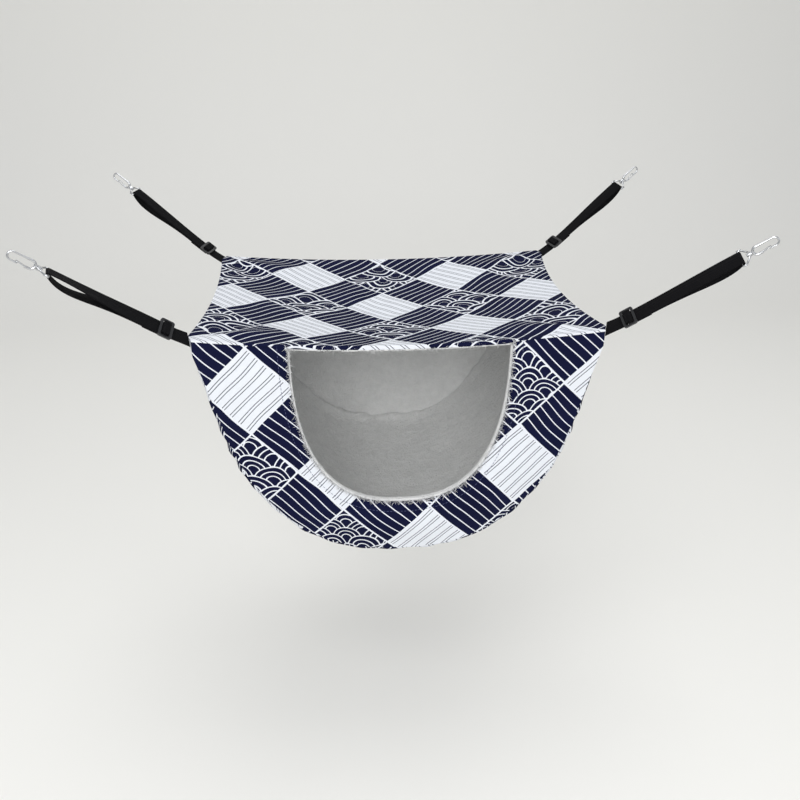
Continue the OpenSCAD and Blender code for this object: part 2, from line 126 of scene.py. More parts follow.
class Sock:
    """An output socket that takes part in Python arithmetic."""

    def __init__(self, graph: "Graph", socket: bpy.types.NodeSocket) -> None:
        """Keeps the socket with the graph it belongs to."""
        self.graph = graph
        self.socket = socket

    def math(self, operation: str, *terms: Value) -> "Sock":
        """Adds one Math node.

        Args:
            operation: the node's operation.
            terms: its inputs in order.

        Returns:
            The node's result.
        """
        return self.graph.add("ShaderNodeMath", {"operation": operation}, dict(enumerate(terms)))

    def __add__(self, other: Value) -> "Sock":
        """Sum."""
        return self.math("ADD", self, other)

    __radd__ = __add__

    def __sub__(self, other: Value) -> "Sock":
        """Difference."""
        return self.math("SUBTRACT", self, other)

    def __rsub__(self, other: Value) -> "Sock":
        """Difference from a number."""
        return self.math("SUBTRACT", other, self)

    def __mul__(self, other: Value) -> "Sock":
        """Product."""
        return self.math("MULTIPLY", self, other)

    __rmul__ = __mul__

    def __truediv__(self, other: Value) -> "Sock":
        """Quotient."""
        return self.math("DIVIDE", self, other)

    def __mod__(self, other: Value) -> "Sock":
        """Remainder, never below 0."""
        return self.math("FLOORED_MODULO", self, other)

    def __lt__(self, other: Value) -> "Sock":
        """1 where this is less."""
        return self.math("LESS_THAN", self, other)

    def __gt__(self, other: Value) -> "Sock":
        """1 where this is more."""
        return self.math("GREATER_THAN", self, other)

    def __abs__(self) -> "Sock":
        """Size without its sign."""
        return self.math("ABSOLUTE", self)

    def floor(self) -> "Sock":
        """The whole number below."""
        return self.math("FLOOR", self)

    def sine(self) -> "Sock":
        """Sine of an angle in radians."""
        return self.math("SINE", self)

    def root(self) -> "Sock":
        """Square root."""
        return self.math("SQRT", self)

    def or_more(self, other: Value) -> "Sock":
        """The larger of the two."""
        return self.math("MAXIMUM", self, other)


class Graph:
    """A node tree that is built up node by node."""

    def __init__(self, tree: bpy.types.NodeTree) -> None:
        """Starts from an empty tree."""
        self.tree = tree
        tree.nodes.clear()

    def add(self, kind: str, settings: dict | None = None, sockets: dict | None = None,
            out: int | str = 0) -> Sock:
        """Adds one node.

        Args:
            kind: the node's type.
            settings: its properties, set first.
            sockets: values or links of its inputs, by name or number.
            out: which output is returned.

        Returns:
            That output, or an empty one on a node without outputs.
        """
        node = self.tree.nodes.new(kind)
        for name, value in (settings or {}).items():
            setattr(node, name, value)
        for key, value in (sockets or {}).items():
            if isinstance(value, Sock):
                self.tree.links.new(value.socket, node.inputs[key])
            else:
                node.inputs[key].default_value = value
        return Sock(self, node.outputs[out] if node.outputs else None)

    def mix(self, share: Value, low: Colour | Sock, high: Colour | Sock) -> Sock:
        """Mixes two colours.

        Args:
            share: 0 for the first and 1 for the second.
            low: the first colour.
            high: the second colour.

        Returns:
            The mixed colour.
        """
        return self.add("ShaderNodeMix", {"data_type": "RGBA"}, {0: share, 6: low, 7: high}, out=2)

    def noise(self, where: Sock, scale: float, detail: float = 2.0) -> Sock:
        """Smooth noise between 0 and 1.

        Args:
            where: the coordinates.
            scale: how many lumps a unit holds.
            detail: octaves of finer lumps.

        Returns:
            The noise.
        """
        return self.add("ShaderNodeTexNoise", None,
                        {"Vector": where, "Scale": scale, "Detail": detail}, out="Fac")

    def bump(self, height: Sock, strength: float, depth: float) -> Sock:
        """Turns a height into a normal.

        Args:
            height: the height, about 0 to 1.
            strength: how much of it shows.
            depth: the height of 1 in metres.

        Returns:
            The normal.
        """
        return self.add("ShaderNodeBump", None,
                        {"Strength": strength, "Distance": depth, "Height": height}, out="Normal")

    def cloth_places(self) -> tuple[Sock, Sock, Sock]:
        """The cloth's own coordinates, as a vector, along it and across it."""
        spot = self.add("ShaderNodeUVMap", {"uv_map": CLOTH_UV}, out="UV")
        return spot, self.part(spot, "X"), self.part(spot, "Y")

    def part(self, vector: Sock, axis: str) -> Sock:
        """One coordinate of a vector."""
        return self.add("ShaderNodeSeparateXYZ", None, {0: vector}, out=axis)

    def space(self) -> Sock:
        """Object coordinates, in metres."""
        return self.add("ShaderNodeTexCoord", None, None, out="Object")


# Finishes


@dataclass(frozen=True)
class Finish:
    """A surface finish that makes one material."""

    name: str

    def paint(self, g: Graph) -> Inputs:
        """The shader's inputs, by name."""
        raise NotImplementedError

    def material(self) -> bpy.types.Material:
        """Makes the material.

        Returns:
            The material, with this finish in its nodes.
        """
        made = bpy.data.materials.new(self.name)
        made.use_nodes = True
        g = Graph(made.node_tree)
        shader = g.add("ShaderNodeBsdfPrincipled", None, self.paint(g), out="BSDF")
        g.add("ShaderNodeOutputMaterial", None, {"Surface": shader})
        return made


@dataclass(frozen=True)
class PrintedCanvas(Finish):
    """Canvas printed with diagonal squares: striped, plain with fine lines, and wave scales.

    The cloth's coordinates are counted in squares, one from a corner to the opposite corner.
    """

    navy: Colour = srgb("0e1027")
    worn_navy: Colour = srgb("171b3c")
    white: Colour = srgb("e3e6ec")
    grey: Colour = srgb("63666f")
    border: float = 0.015
    # Stripes and pairs of fine lines: how many cross a square, and their widths as shares of a step
    stripes_rise: bool = False
    stripes: float = 7.0
    stripe_half: float = 0.062
    stripe_sway: float = 0.9
    sway_lumps: float = 1.6
    fine_lines: float = 6.0
    fine_apart: float = 0.14
    fine_half: float = 0.040
    fine_sway: float = 0.2
    # Wave scales: the place past which they hang upside down, their rows, and rings as shares of a radius
    turn_over: float = 100.0
    scale_r: float = 0.205
    scale_row: float = 0.14
    scale_sway: float = 0.16
    scale_core: float = 0.3
    ring_step: float = 0.30
    ring_half: float = 0.035
    # The unsteady hand of the drawing, and the cloth under it
    hand_lumps: float = 2.4
    hand_sway: float = 0.03
    wear_lumps: float = 1.7
    threads: float = 110.0
    thread_height: float = 0.35
    slub_lumps: float = 60.0
    slub_height: float = 0.5
    crumple_lumps: float = 7.0
    crumple_height: float = 1.6
    relief: float = 0.0006

    def scales(self, g: Graph, u: Sock, v: Sock) -> Sock:
        """Rows of overlapping wave scales.

        Args:
            g: the graph; not used.
            u: place across the rows.
            v: place up the rows.

        Returns:
            1 on the white rings of the scales.
        """
        row = (v / self.scale_row).floor()
        chosen: Sock | None = None
        for step in (2, 1, 0, -1):
            level = row + float(step)
            shift = (level % 2.0) * self.scale_r
            dx = (u + shift) % (2.0 * self.scale_r) - self.scale_r
            dy = v - level * self.scale_row
            reach = (dx * dx + dy * dy).root() / self.scale_r
            if chosen is None:
                chosen = reach
            else:
                inside = reach < 1.0
                chosen = reach * inside + chosen * (1.0 - inside)
        ring = abs((1.0 - chosen) % self.ring_step - self.ring_half)
        return (ring < self.ring_half) * (chosen > self.scale_core)

    def paint(self, g: Graph) -> Inputs:
        """Print, weave and slight wear.

        Args:
            g: the material's graph.

        Returns:
            The shader's inputs, by name.
        """
        spot, along, across = g.cloth_places()
        hand = g.add("ShaderNodeTexNoise", None,
                     {"Vector": spot, "Scale": self.hand_lumps, "Detail": 0.0}, out="Color")
        du = g.part(hand, "X") - 0.5
        dv = g.part(hand, "Y") - 0.5
        u = along + du * self.hand_sway
        v = across + dv * self.hand_sway
        a = u + v
        b = u - v
        cell_a = (a + 0.5).floor()
        cell_b = (b + 0.5).floor()
        in_a = a - cell_a
        in_b = b - cell_b
        odd_a = cell_a % 2.0
        odd_b = cell_b % 2.0
        plain = (1.0 - odd_a) * (1.0 - odd_b)
        waves = odd_a * odd_b
        striped = 1.0 - plain - waves
        grid = abs(in_a).or_more(abs(in_b)) > 0.5 - self.border
        first, second = (in_b, in_a) if self.stripes_rise else (in_a, in_b)
        sway = (g.noise(spot, self.sway_lumps, detail=0.0) - 0.5) * self.stripe_sway
        stripe = abs((first * self.stripes + sway) % 1.0 - 0.5) < self.stripe_half
        beside = abs((second * self.fine_lines + sway * self.fine_sway) % 1.0 - 0.5)
        pair = abs(beside - self.fine_apart) < self.fine_half
        flip = 1.0 - 2.0 * (v > self.turn_over)
        ring = self.scales(g, u + dv * self.scale_sway, (v + du * self.scale_sway) * flip)
        inked = grid.or_more(plain).or_more(striped * stripe).or_more(waves * ring)
        navy = g.mix(g.noise(spot, self.wear_lumps, detail=4.0), self.navy, self.worn_navy)
        colour = g.mix(inked, navy, self.white)
        colour = g.mix(plain * pair * (1.0 - grid), colour, self.grey)
        weave = (along * (TAU * self.threads)).sine() * (across * (TAU * self.threads)).sine()
        slub = g.noise(spot, self.slub_lumps, detail=3.0)
        crumple = g.noise(spot, self.crumple_lumps, detail=3.0)
        height = weave * self.thread_height + slub * self.slub_height + crumple * self.crumple_height
        return {"Base Color": colour, "Roughness": 0.82 + slub * 0.16, "Specular IOR Level": 0.06,
                "Normal": g.bump(height, strength=0.55, depth=self.relief)}


@dataclass(frozen=True)
class Plush(Finish):
    """Short pile, brushed in soft patches. Patches, tufts and clumps are counted in a metre."""

    light: Colour = srgb("f6f6f5")
    shade: Colour = srgb("cfd0cf")
    patch: float = 22.0
    tuft: float = 420.0
    clump: float = 105.0
    relief: float = 0.0022

    def paint(self, g: Graph) -> Inputs:
        """Patches of nap over fine tufts.

        Args:
            g: the material's graph.

        Returns:
            The shader's inputs, by name.
        """
        spot = g.space()
        nap = g.noise(spot, self.patch, detail=3.0)
        tufts = g.noise(spot, self.tuft, detail=3.0)
        clumps = g.noise(spot, self.clump)
        colour = g.mix(nap * 0.4 + clumps * 0.45 + tufts * 0.25, self.shade, self.light)
        return {"Base Color": colour, "Roughness": 0.9 + tufts * 0.1, "Sheen Weight": 0.5,
                "Sheen Roughness": 0.45, "Specular IOR Level": 0.1,
                "Normal": g.bump(tufts * 0.7 + clumps * 1.3, strength=0.8, depth=self.relief)}


@dataclass(frozen=True)
class Webbing(Finish):
    """Woven strap with slanted ribs that meet along its middle. Its dust is counted in a metre."""

    black: Colour = srgb("08080a")
    worn: Colour = srgb("151418")
    rib: float = 0.0021
    slant: float = 0.9
    dust: float = 260.0
    relief: float = 0.0006

    def paint(self, g: Graph) -> Inputs:
        """Ribs under a dusty bloom.

        Args:
            g: the material's graph.

        Returns:
            The shader's inputs, by name.
        """
        spot, along, across = g.cloth_places()
        ribs = ((along + abs(across) * self.slant) * (TAU / self.rib)).sine()
        dust = g.noise(spot, self.dust, detail=4.0)
        colour = g.mix(dust * (ribs * 0.3 + 0.5), self.black, self.worn)
        return {"Base Color": colour, "Roughness": 0.62 + dust * 0.3, "Specular IOR Level": 0.12,
                "Normal": g.bump(ribs * 0.8 + dust * 0.5, strength=0.8, depth=self.relief)}


@dataclass(frozen=True)
class GlossPlastic(Finish):
    """Moulded black plastic with handling marks. Grain and marks are counted in a metre."""

    black: Colour = srgb("0d0d0f")
    rub: Colour = srgb("26262a")
    grain: float = 900.0
    marks: float = 140.0
    relief: float = 0.0002

    def paint(self, g: Graph) -> Inputs:
        """A faint moulded grain under gloss.

        Args:
            g: the material's graph.

        Returns:
            The shader's inputs, by name.
        """
        spot = g.space()
        grain = g.noise(spot, self.grain)
        marks = g.noise(spot, self.marks, detail=5.0)
        return {"Base Color": g.mix(marks * marks, self.black, self.rub),
                "Roughness": 0.18 + marks * 0.22, "Coat Weight": 0.3,
                "Normal": g.bump(grain, strength=0.12, depth=self.relief)}


@dataclass(frozen=True)
class Nickel(Finish):
    """Bright nickel plate with fine wear. Patches and scratches are counted in a metre."""

    bright: Colour = srgb("d6d7d9")
    dull: Colour = srgb("a3a5a8")
    patch: float = 220.0
    scratch: float = 1600.0
    relief: float = 0.0002

    def paint(self, g: Graph) -> Inputs:
        """Plate that is duller in patches.

        Args:
            g: the material's graph.

        Returns:
            The shader's inputs, by name.
        """
        spot = g.space()
        wear = g.noise(spot, self.patch, detail=4.0)
        fine = g.noise(spot, self.scratch)
        return {"Base Color": g.mix(wear * 0.6, self.bright, self.dull), "Metallic": 1.0,
                "Roughness": 0.14 + wear * 0.16,
                "Normal": g.bump(fine, strength=0.08, depth=self.relief)}


@dataclass(frozen=True)
class Thread(Finish):
    """Twisted fibre, with painted shade in the hollows of its twist. Its twists are counted in a metre."""

    colour: Colour = srgb("c9cbd4")
    twist: float = 2600.0
    hollow_shade: float = 0.6
    relief: float = 0.0002

    def paint(self, g: Graph) -> Inputs:
        """Colour and a trace of twist, with painted shade that darkens its hollows.

        Args:
            g: the material's graph.

        Returns:
            The shader's inputs, by name.
        """
        ply = g.noise(g.space(), self.twist)
        # Painted shade: the colour darkens towards the shaded tone where the twist's ply is low, in its
        # hollows.
        shaded = toned(self.colour, self.hollow_shade)
        return {"Base Color": g.mix(ply, shaded, self.colour), "Roughness": 0.7,
                "Normal": g.bump(ply, strength=0.3, depth=self.relief)}


@dataclass(frozen=True)
class PaleGround(Finish):
    """Plain pale ground under and behind the part."""

    tone: Colour = srgb("ecebe7")
    lift: float = 1.02
    patch: float = 0.6

    def paint(self, g: Graph) -> Inputs:
        """A matt tone with hardly any change.

        Args:
            g: the material's graph.

        Returns:
            The shader's inputs, by name.
        """
        drift = g.noise(g.space(), self.patch)
        return {"Base Color": g.mix(drift, self.tone, toned(self.tone, self.lift)), "Roughness": 0.95,
                "Specular IOR Level": 0.1}


# Meshes


def new_mesh(name: str, points: np.ndarray, faces: np.ndarray, uv: np.ndarray) -> bpy.types.Mesh:
    """Makes a smooth closed mesh whose faces point outwards.

    Args:
        name: the mesh's name.
        points: its vertices.
        faces: its quads, as rows of four vertex numbers.
        uv: the cloth's coordinates at each vertex.

    Returns:
        The mesh.
    """
    corners = points[faces]
    signed = np.einsum("ij,ij->i", corners[:, 0], np.cross(corners[:, 1], corners[:, 2])).sum()
    signed += np.einsum("ij,ij->i", corners[:, 0], np.cross(corners[:, 2], corners[:, 3])).sum()
    if signed < 0:
        faces = faces[:, ::-1]
    mesh = bpy.data.meshes.new(name)
    mesh.from_pydata(points.tolist(), [], faces.tolist())
    layer = mesh.uv_layers.new(name=CLOTH_UV)
    index = np.zeros(len(mesh.loops), np.int32)
    mesh.loops.foreach_get("vertex_index", index)
    layer.data.foreach_set("uv", uv[index].astype(np.float32).ravel())
    mesh.polygons.foreach_set("use_smooth", np.ones(len(mesh.polygons), bool))
    mesh.set_sharp_from_angle(angle=SHEET_SHARP)
    mesh.update()
    return mesh


def sheet_mesh(name: str, upper: np.ndarray, lower: np.ndarray, uv: np.ndarray) -> bpy.types.Mesh:
    """A closed sheet between two grids of points.

    Args:
        name: the mesh's name.
        upper: one face, as rows and columns of points.
        lower: the other face, in the same order.
        uv: the cloth's coordinates at each point of the grid.

    Returns:
        The mesh.
    """
    rows, columns = upper.shape[:2]
    count = rows * columns
    ids = np.arange(count).reshape(rows, columns)
    top = np.stack([ids[:-1, :-1], ids[1:, :-1], ids[1:, 1:], ids[:-1, 1:]], -1).reshape(-1, 4)
    rim = np.concatenate([ids[:, 0], ids[-1, 1:], ids[-2::-1, -1], ids[0, -2:0:-1]])
    after = np.roll(rim, -1)
    edge = np.stack([after, rim, rim + count, after + count], -1)
    points = np.concatenate([upper.reshape(-1, 3), lower.reshape(-1, 3)])
    both = np.concatenate([uv.reshape(-1, 2), uv.reshape(-1, 2)])
    return new_mesh(name, points, np.concatenate([top, top[:, ::-1] + count, edge]), both)


def in_scene(name: str, data: bpy.types.ID) -> bpy.types.Object:
    """Puts a mesh, a lamp or a camera into the scene.

    Args:
        name: the object's name.
        data: what it shows.

    Returns:
        The object.
    """
    thing = bpy.data.objects.new(name, data)
    bpy.context.scene.collection.objects.link(thing)
    return thing


def new_piece(mesh: bpy.types.Mesh, material: bpy.types.Material) -> bpy.types.Object:
    """Puts a mesh into the scene as a piece of the same name.

    Args:
        mesh: the piece's mesh.
        material: its material.

    Returns:
        The piece.
    """
    mesh.materials.clear()
    mesh.materials.append(material)
    return in_scene(mesh.name, mesh)


def ride(piece: bpy.types.Object, body: str, slot: Slot, *nodes: str) -> None:
    """Lets a piece move with a body, and stand for nodes.

    Args:
        piece: the piece.
        body: the body's name.
        slot: the record's slot that its finish belongs to; not used.
        nodes: the nodes that it replaces.
    """
    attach(piece, body)
    if nodes:
        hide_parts(*nodes)
    LOG.info("%s rides on %s", piece.name, body)


def baked(carrier: bpy.types.Object, name: str) -> bpy.types.Mesh:
    """Applies an object's modifiers and removes the object.

    Args:
        carrier: the object with live modifiers.
        name: the new mesh's name.

    Returns:
        The plain mesh.
    """
    seen = carrier.evaluated_get(bpy.context.evaluated_depsgraph_get())
    made = bpy.data.meshes.new_from_object(seen)
    spent = carrier.data
    bpy.data.objects.remove(carrier)
    bpy.data.meshes.remove(spent)
    made.name = name
    return made


def grow_along(name: str, line: np.ndarray, tree: bpy.types.NodeTree, sizes: dict[str, float],
               closed: bool = False) -> bpy.types.Mesh:
    """Runs a node tree on a line of points.

    Args:
        name: the mesh's name.
        line: the points of the line.
        tree: the geometry tree.
        sizes: values of its named inputs.
        closed: whether the line's ends meet.

    Returns:
        The plain mesh that the tree made.
    """
    edges = [(k, k + 1) for k in range(len(line) - 1)]
    if closed:
        edges.append((len(line) - 1, 0))
    mesh = bpy.data.meshes.new(name + "_line")
    mesh.from_pydata(line.tolist(), edges, [])
    carrier = in_scene(name + "_line", mesh)
    modifier = carrier.modifiers.new("grow", "NODES")
    modifier.node_group = tree
    keys = {item.name: item.identifier for item in tree.interface.items_tree if item.in_out == "INPUT"}
    for label, value in sizes.items():
        modifier[keys[label]] = value
    return baked(carrier, name)


@dataclass(frozen=True)
class Sewing:
    """Trees that lay stitches and fibres along a line.

    A fibre is between the short and the tall share of its length, with its tip a share of its radius.
    """

    thread: bpy.types.Material
    fibre: bpy.types.Material
    short: float = 0.45
    tall: float = 1.2
    tip: float = 0.02
    drift_seed: int = 11
    turn_seed: int = 5
    growth_seed: int = 3

    @staticmethod
    def empty_tree(name: str, labels: Sequence[str]) -> tuple[Graph, dict[str, Sock]]:
        """A geometry tree with named number inputs.

        Args:
            name: the tree's name.
            labels: names of the number inputs.

        Returns:
            The graph, and its inputs by name.
        """
        tree = bpy.data.node_groups.new(name, "GeometryNodeTree")
        tree.interface.new_socket("Line", in_out="INPUT", socket_type="NodeSocketGeometry")
        for label in labels:
            tree.interface.new_socket(label, in_out="INPUT", socket_type="NodeSocketFloat")
        tree.interface.new_socket("Made", in_out="OUTPUT", socket_type="NodeSocketGeometry")
        g = Graph(tree)
        node = tree.nodes.new("NodeGroupInput")
        return g, {label: Sock(g, node.outputs[label]) for label in ("Line", *labels)}

    @staticmethod
    def spots(g: Graph, size: dict[str, Sock]) -> Sock:
        """Points at even steps along the line.

        Args:
            g: the graph.
            size: its inputs by name.

        Returns:
            The points.
        """
        curve = g.add("GeometryNodeMeshToCurve", None, {"Mesh": size["Line"]})
        return g.add("GeometryNodeCurveToPoints", {"mode": "LENGTH"},
                     {"Curve": curve, "Length": size["Step"]}, out="Points")

    @staticmethod
    def slender(g: Graph, size: dict[str, Sock]) -> Sock:
        """The scale that draws a shape two units tall out to the inputs' radius and length."""
        return g.add("ShaderNodeCombineXYZ", None,
                     {"X": size["Radius"], "Y": size["Radius"], "Z": size["Length"] * 0.5})

    @staticmethod
    def close_tree(g: Graph, instances: Sock, material: bpy.types.Material) -> bpy.types.NodeTree:
        """Realizes the instances, gives them their material and ends the tree.

        Args:
            g: the graph.
            instances: what was placed.
            material: its material.

        Returns:
            The finished tree.
        """
        real = g.add("GeometryNodeRealizeInstances", None, {"Geometry": instances})
        smooth = g.add("GeometryNodeSetShadeSmooth", None, {"Geometry": real})
        done = g.add("GeometryNodeSetMaterial", None, {"Geometry": smooth, "Material": material})
        g.add("NodeGroupOutput", None, {"Made": done})
        return g.tree

    def stitches(self) -> bpy.types.NodeTree:
        """A row of stitches that follow the line.

        Returns:
            The tree.
        """
        g, size = self.empty_tree("stitch_row", ("Step", "Length", "Radius"))
        spots = self.spots(g, size)
        way = Sock(g, spots.socket.node.outputs["Tangent"])
        turn = g.add("FunctionNodeAlignRotationToVector", {"axis": "Z"}, {"Vector": way})
        bead = g.add("GeometryNodeMeshUVSphere", None, {"Segments": 6, "Rings": 4, "Radius": 1.0}, out="Mesh")
        rows = g.add("GeometryNodeInstanceOnPoints", None,
                     {"Points": spots, "Instance": bead, "Rotation": turn, "Scale": self.slender(g, size)})
        return self.close_tree(g, rows, self.thread)

    def fibres(self) -> bpy.types.NodeTree:
        """Loose fibres that stand out all round the line.

        Returns:
            The tree.
        """
        g, size = self.empty_tree("fibre_fringe", ("Step", "Length", "Radius", "Spread"))
        drift = g.add("FunctionNodeRandomValue", {"data_type": "FLOAT_VECTOR"},
                      {"Min": (-1.0, -1.0, -1.0), "Max": (1.0, 1.0, 1.0), "Seed": self.drift_seed})
        away = g.add("ShaderNodeVectorMath", {"operation": "SCALE"}, {0: drift, "Scale": size["Spread"]})
        loose = g.add("GeometryNodeSetPosition", None, {"Geometry": self.spots(g, size), "Offset": away})
        turn = g.add("FunctionNodeRandomValue", {"data_type": "FLOAT_VECTOR"},
                     {"Min": (0.0, 0.0, 0.0), "Max": (TAU, TAU, TAU), "Seed": self.turn_seed})
        grown = g.add("FunctionNodeRandomValue", {"data_type": "FLOAT"},
                      {2: self.short, 3: self.tall, "Seed": self.growth_seed}, out=1)
        hair = g.add("GeometryNodeMeshCone", None,
                     {"Vertices": 3, "Side Segments": 2, "Radius Top": self.tip, "Radius Bottom": 1.0,
                      "Depth": 2.0}, out="Mesh")
        shape = g.add("ShaderNodeVectorMath", {"operation": "SCALE"},
                      {0: self.slender(g, size), "Scale": grown})
        rows = g.add("GeometryNodeInstanceOnPoints", None,
                     {"Points": loose, "Instance": hair, "Rotation": turn, "Scale": shape})
        return self.close_tree(g, rows, self.fibre)


# Sewn body


def hump(t: Numbers) -> Numbers:
    """0 at both ends and 1 in the middle."""
    return 4.0 * t * (1.0 - t)


def ease(t: Numbers) -> Numbers:
    """A smooth step from 0 to 1."""
    c = np.clip(t, 0.0, 1.0)
    return c * c * (3.0 - 2.0 * c)


def mix(low: Numbers, high: Numbers, t: Numbers) -> Numbers:
    """A value between two ends."""
    return low + (high - low) * t


@dataclass(frozen=True)
class Print:
    """Where the print lies on a panel: the middle of one plain square, and the squares' size."""

    middle: tuple[float, float]
    pitch: float

    def places(self, u: np.ndarray, v: np.ndarray) -> np.ndarray:
        """The print's coordinates.

        Args:
            u: metres across the cloth.
            v: metres up the cloth.

        Returns:
            Squares from corner to corner, from the plain square's middle.
        """
        return np.stack([(u - self.middle[0]) / self.pitch, (v - self.middle[1]) / self.pitch], -1)


@dataclass
class Den:
    """The sewn body: roof, belly, front and back, each a printed cover with a plush lining.

    Lengths are in metres. Powers, fades, shares and rates have no unit.
    """

    # Overall sizes and the cut of the panels
    corner_z: float
    roof_w: float = 0.468
    roof_d: float = 0.348
    front_drop: float = 0.266
    back_drop: float = 0.252
    belly_run: float = 0.80
    seam_room: float = 0.010
    mouth_w: float = 0.250
    mouth_h: float = 0.196
    corner_w: float = 0.020
    strap_turn: float = math.radians(20.0)
    # Layers
    canvas_t: float = 0.0012
    plush_t: float = 0.005
    layer_gap: float = 0.0004
    seam_gap: float = 0.0008
    plush_peek: float = 0.002
    pile_lift: float = 0.0007
    pile_lumps: float = 160.0
    # Section: how flat the floor and how steep the walls are, front and back
    front_power: tuple[float, float] = (2.6, 1.55)
    back_power: tuple[float, float] = (3.0, 0.75)
    mouth_power: float = 2.6
    side_curve: float = 0.016
    left_curve: float = 0.009
    curve_fade: float = 6.0
    belly_swell: float = 0.010
    swell_rate: float = 0.6
    pinch: float = 0.008
    pinch_end: float = 0.70
    front_crown: float = 0.008
    back_crown: float = 0.006
    lip_share: float = 0.15
    crown_fade: float = 0.8
    # Sag, folds and creases
    sag_front: float = 0.013
    sag_rear: float = 0.010
    sag_side: float = 0.007
    sag_middle: float = 0.012
    fold_height: float = 0.005
    fold_reach: float = 0.095
    fold_gain: float = 4.0
    fold_edge: float = 0.045
    ripple: float = 0.0016
    belly_crease: tuple[float, float] = (1.1, 0.30)
    front_crease: float = 0.4
    back_crease: float = 0.2
    lap: float = 0.0075
    lap_w: float = 0.020
    lap_share: float = 0.5
    lap_uneven: float = 0.30
    lap_rise: float = 1.25
    lap_drop: float = 0.7
    lap_edge: int = 12
    # Hems round the mouth and on the roof's front edge
    hem_w: float = 0.011
    hem_rise: float = 0.0006
    hem_fade: float = 0.35
    hem_fall: float = 0.0046
    hem_seam: float = 0.0022
    hem_taper: float = 0.024
    hem_lip: float = 0.6
    hem_rows: int = 6
    hem_slope: float = 0.00002
    # Roll of the belly into the front seam
    roll: float = 0.0085
    roll_depth: float = 0.019
    roll_start: float = 0.42
    roll_out: float = 0.0038
    roll_fade: float = 0.060
    pucker: float = 0.0015
    gather_from: float = 0.7
    # Stitches and fringe round the mouth
    stitch_step: float = 0.0042
    stitch_l: float = 0.0030
    stitch_r: float = 0.00032
    stitch_rise: float = 0.0002
    fringe_step: float = 0.00036
    fringe_l: float = 0.0060
    fringe_r: float = 0.00036
    fringe_spread: float = 0.0013
    fringe_rise: float = 0.0003
    # Points of the grids: a blunt corner gets one row for so many along the side, but a few at least
    roof_points: int = 150
    belly_points: int = 230
    lining_points: int = 190
    front_points: int = 220
    front_lanes: int = 46
    back_points: int = 130
    corner_share: int = 12
    corner_least: int = 3
    # Print
    roof_print: Print = Print((-0.0075, 0.010), 0.100)
    front_print: Print = Print((-0.1706, -0.1693), 0.102)
    back_print: Print = Print((0.040, -0.200), 0.101)
    belly_print: Print = Print((0.020, 0.030), 0.101)

    def __post_init__(self) -> None:
        """Works out what follows from the sizes."""
        self.cut_x = self.corner_w * math.sin(self.strap_turn)
        self.cut_y = self.corner_w * math.cos(self.strap_turn)
        self.cover_head = self.canvas_t + self.layer_gap
        self.lining_head = self.cover_head + self.plush_t + self.seam_gap
        self.panel_set = self.canvas_t + self.seam_gap
        self.wall_set = self.panel_set + self.plush_t + self.layer_gap
        self.edge_set = self.panel_set + self.side_curve * hump(self.wall_set / self.roof_d)

    def along(self, y: np.ndarray) -> np.ndarray:
        """0 at the front seam and 1 at the rear seam."""
        return np.clip((y + self.roof_d / 2) / self.roof_d, 0.0, 1.0)

    def curve_on(self, side: np.ndarray) -> np.ndarray:
        """How far a side curves in, which is less on the left."""
        return np.where(side < 0, self.left_curve, self.side_curve)

    def roof_half(self, t: np.ndarray, x: np.ndarray) -> np.ndarray:
        """Half the roof's width, on the side that x is on."""
        return self.roof_w / 2 - self.curve_on(x) * hump(t)

    def corner_limit(self, y: np.ndarray, inset: float) -> np.ndarray:
        """How far out the blunt corners let a layer reach."""
        share = np.clip(1.0 - (self.roof_d / 2 - np.abs(y)) / self.cut_y, 0.0, 1.0)
        return self.roof_w / 2 - inset - self.cut_x * share

    def blunt(self, x: np.ndarray, y: np.ndarray, inset: float) -> np.ndarray:
        """Keeps a place across behind the blunt corners."""
        return np.sign(x) * np.minimum(np.abs(x), self.corner_limit(y, inset))

    def seam_z(self, x: np.ndarray, t: np.ndarray) -> np.ndarray:
        """Height of the roof's seams, carried across the den."""
        sag = mix(self.sag_front, self.sag_rear, t)
        return self.corner_z - self.sag_side * hump(t) - sag * (1.0 - (x / self.roof_half(t, x)) ** 2)

    def corner_folds(self, x: np.ndarray, y: np.ndarray) -> np.ndarray:
        """Folds that fan out from the nearest pulled corner.

        Args:
            x: place across.
            y: place between front and rear.

        Returns:
            Their height.
        """
        dx = np.maximum(self.roof_half(self.along(y), x) - np.abs(x), 0.0)
        dy = np.maximum(self.roof_d / 2 - np.abs(y), 0.0)
        fade = ease(dx / self.fold_edge) * ease(dy / self.fold_edge)
        turn = np.arctan2(dy, dx)
        far = np.hypot(dx, dy) / self.fold_reach
        fan = np.sin(2 * turn) * np.sin(4 * turn) * far * np.exp(1.0 - far)
        return (self.fold_height * self.fold_gain * fan * fade
                * (2 * x / self.roof_w) ** 2 * (2 * y / self.roof_d) ** 2)

    def creases(self, x: np.ndarray, y: np.ndarray) -> np.ndarray:
        """Soft creases of slack cloth, of long and short waves that cross.

        Each wave's rates are radians in a metre, chosen so that they don't fall into step.

        Args:
            x: metres one way along the cloth.
            y: metres the other way.

        Returns:
            Their height, about -1 to 1.
        """
        long_waves = np.sin(31.0 * x + 17.0 * y + 1.3 * np.sin(23.0 * y)) * np.sin(19.0 * y - 9.0 * x + 0.7)
        short_waves = np.sin(74.0 * x - 41.0 * y + 2.1 * np.sin(37.0 * x + 1.0)) * np.sin(57.0 * y + 0.4)
        return 0.65 * long_waves + 0.35 * short_waves

    def roof_z(self, x: np.ndarray, y: np.ndarray) -> np.ndarray:
        """Height of the roof, with its folds and creases.

        Args:
            x: place across.
            y: place between front and rear.

        Returns:
            The height.
        """
        t = self.along(y)
        rim = np.clip(1.0 - (x / self.roof_half(t, x)) ** 2, 0.0, 1.0)
        slack = self.ripple * self.creases(x, y) * np.sqrt(hump(t) * rim)
        return self.seam_z(x, t) - self.sag_middle * hump(t) * rim ** 2 + self.corner_folds(x, y) + slack

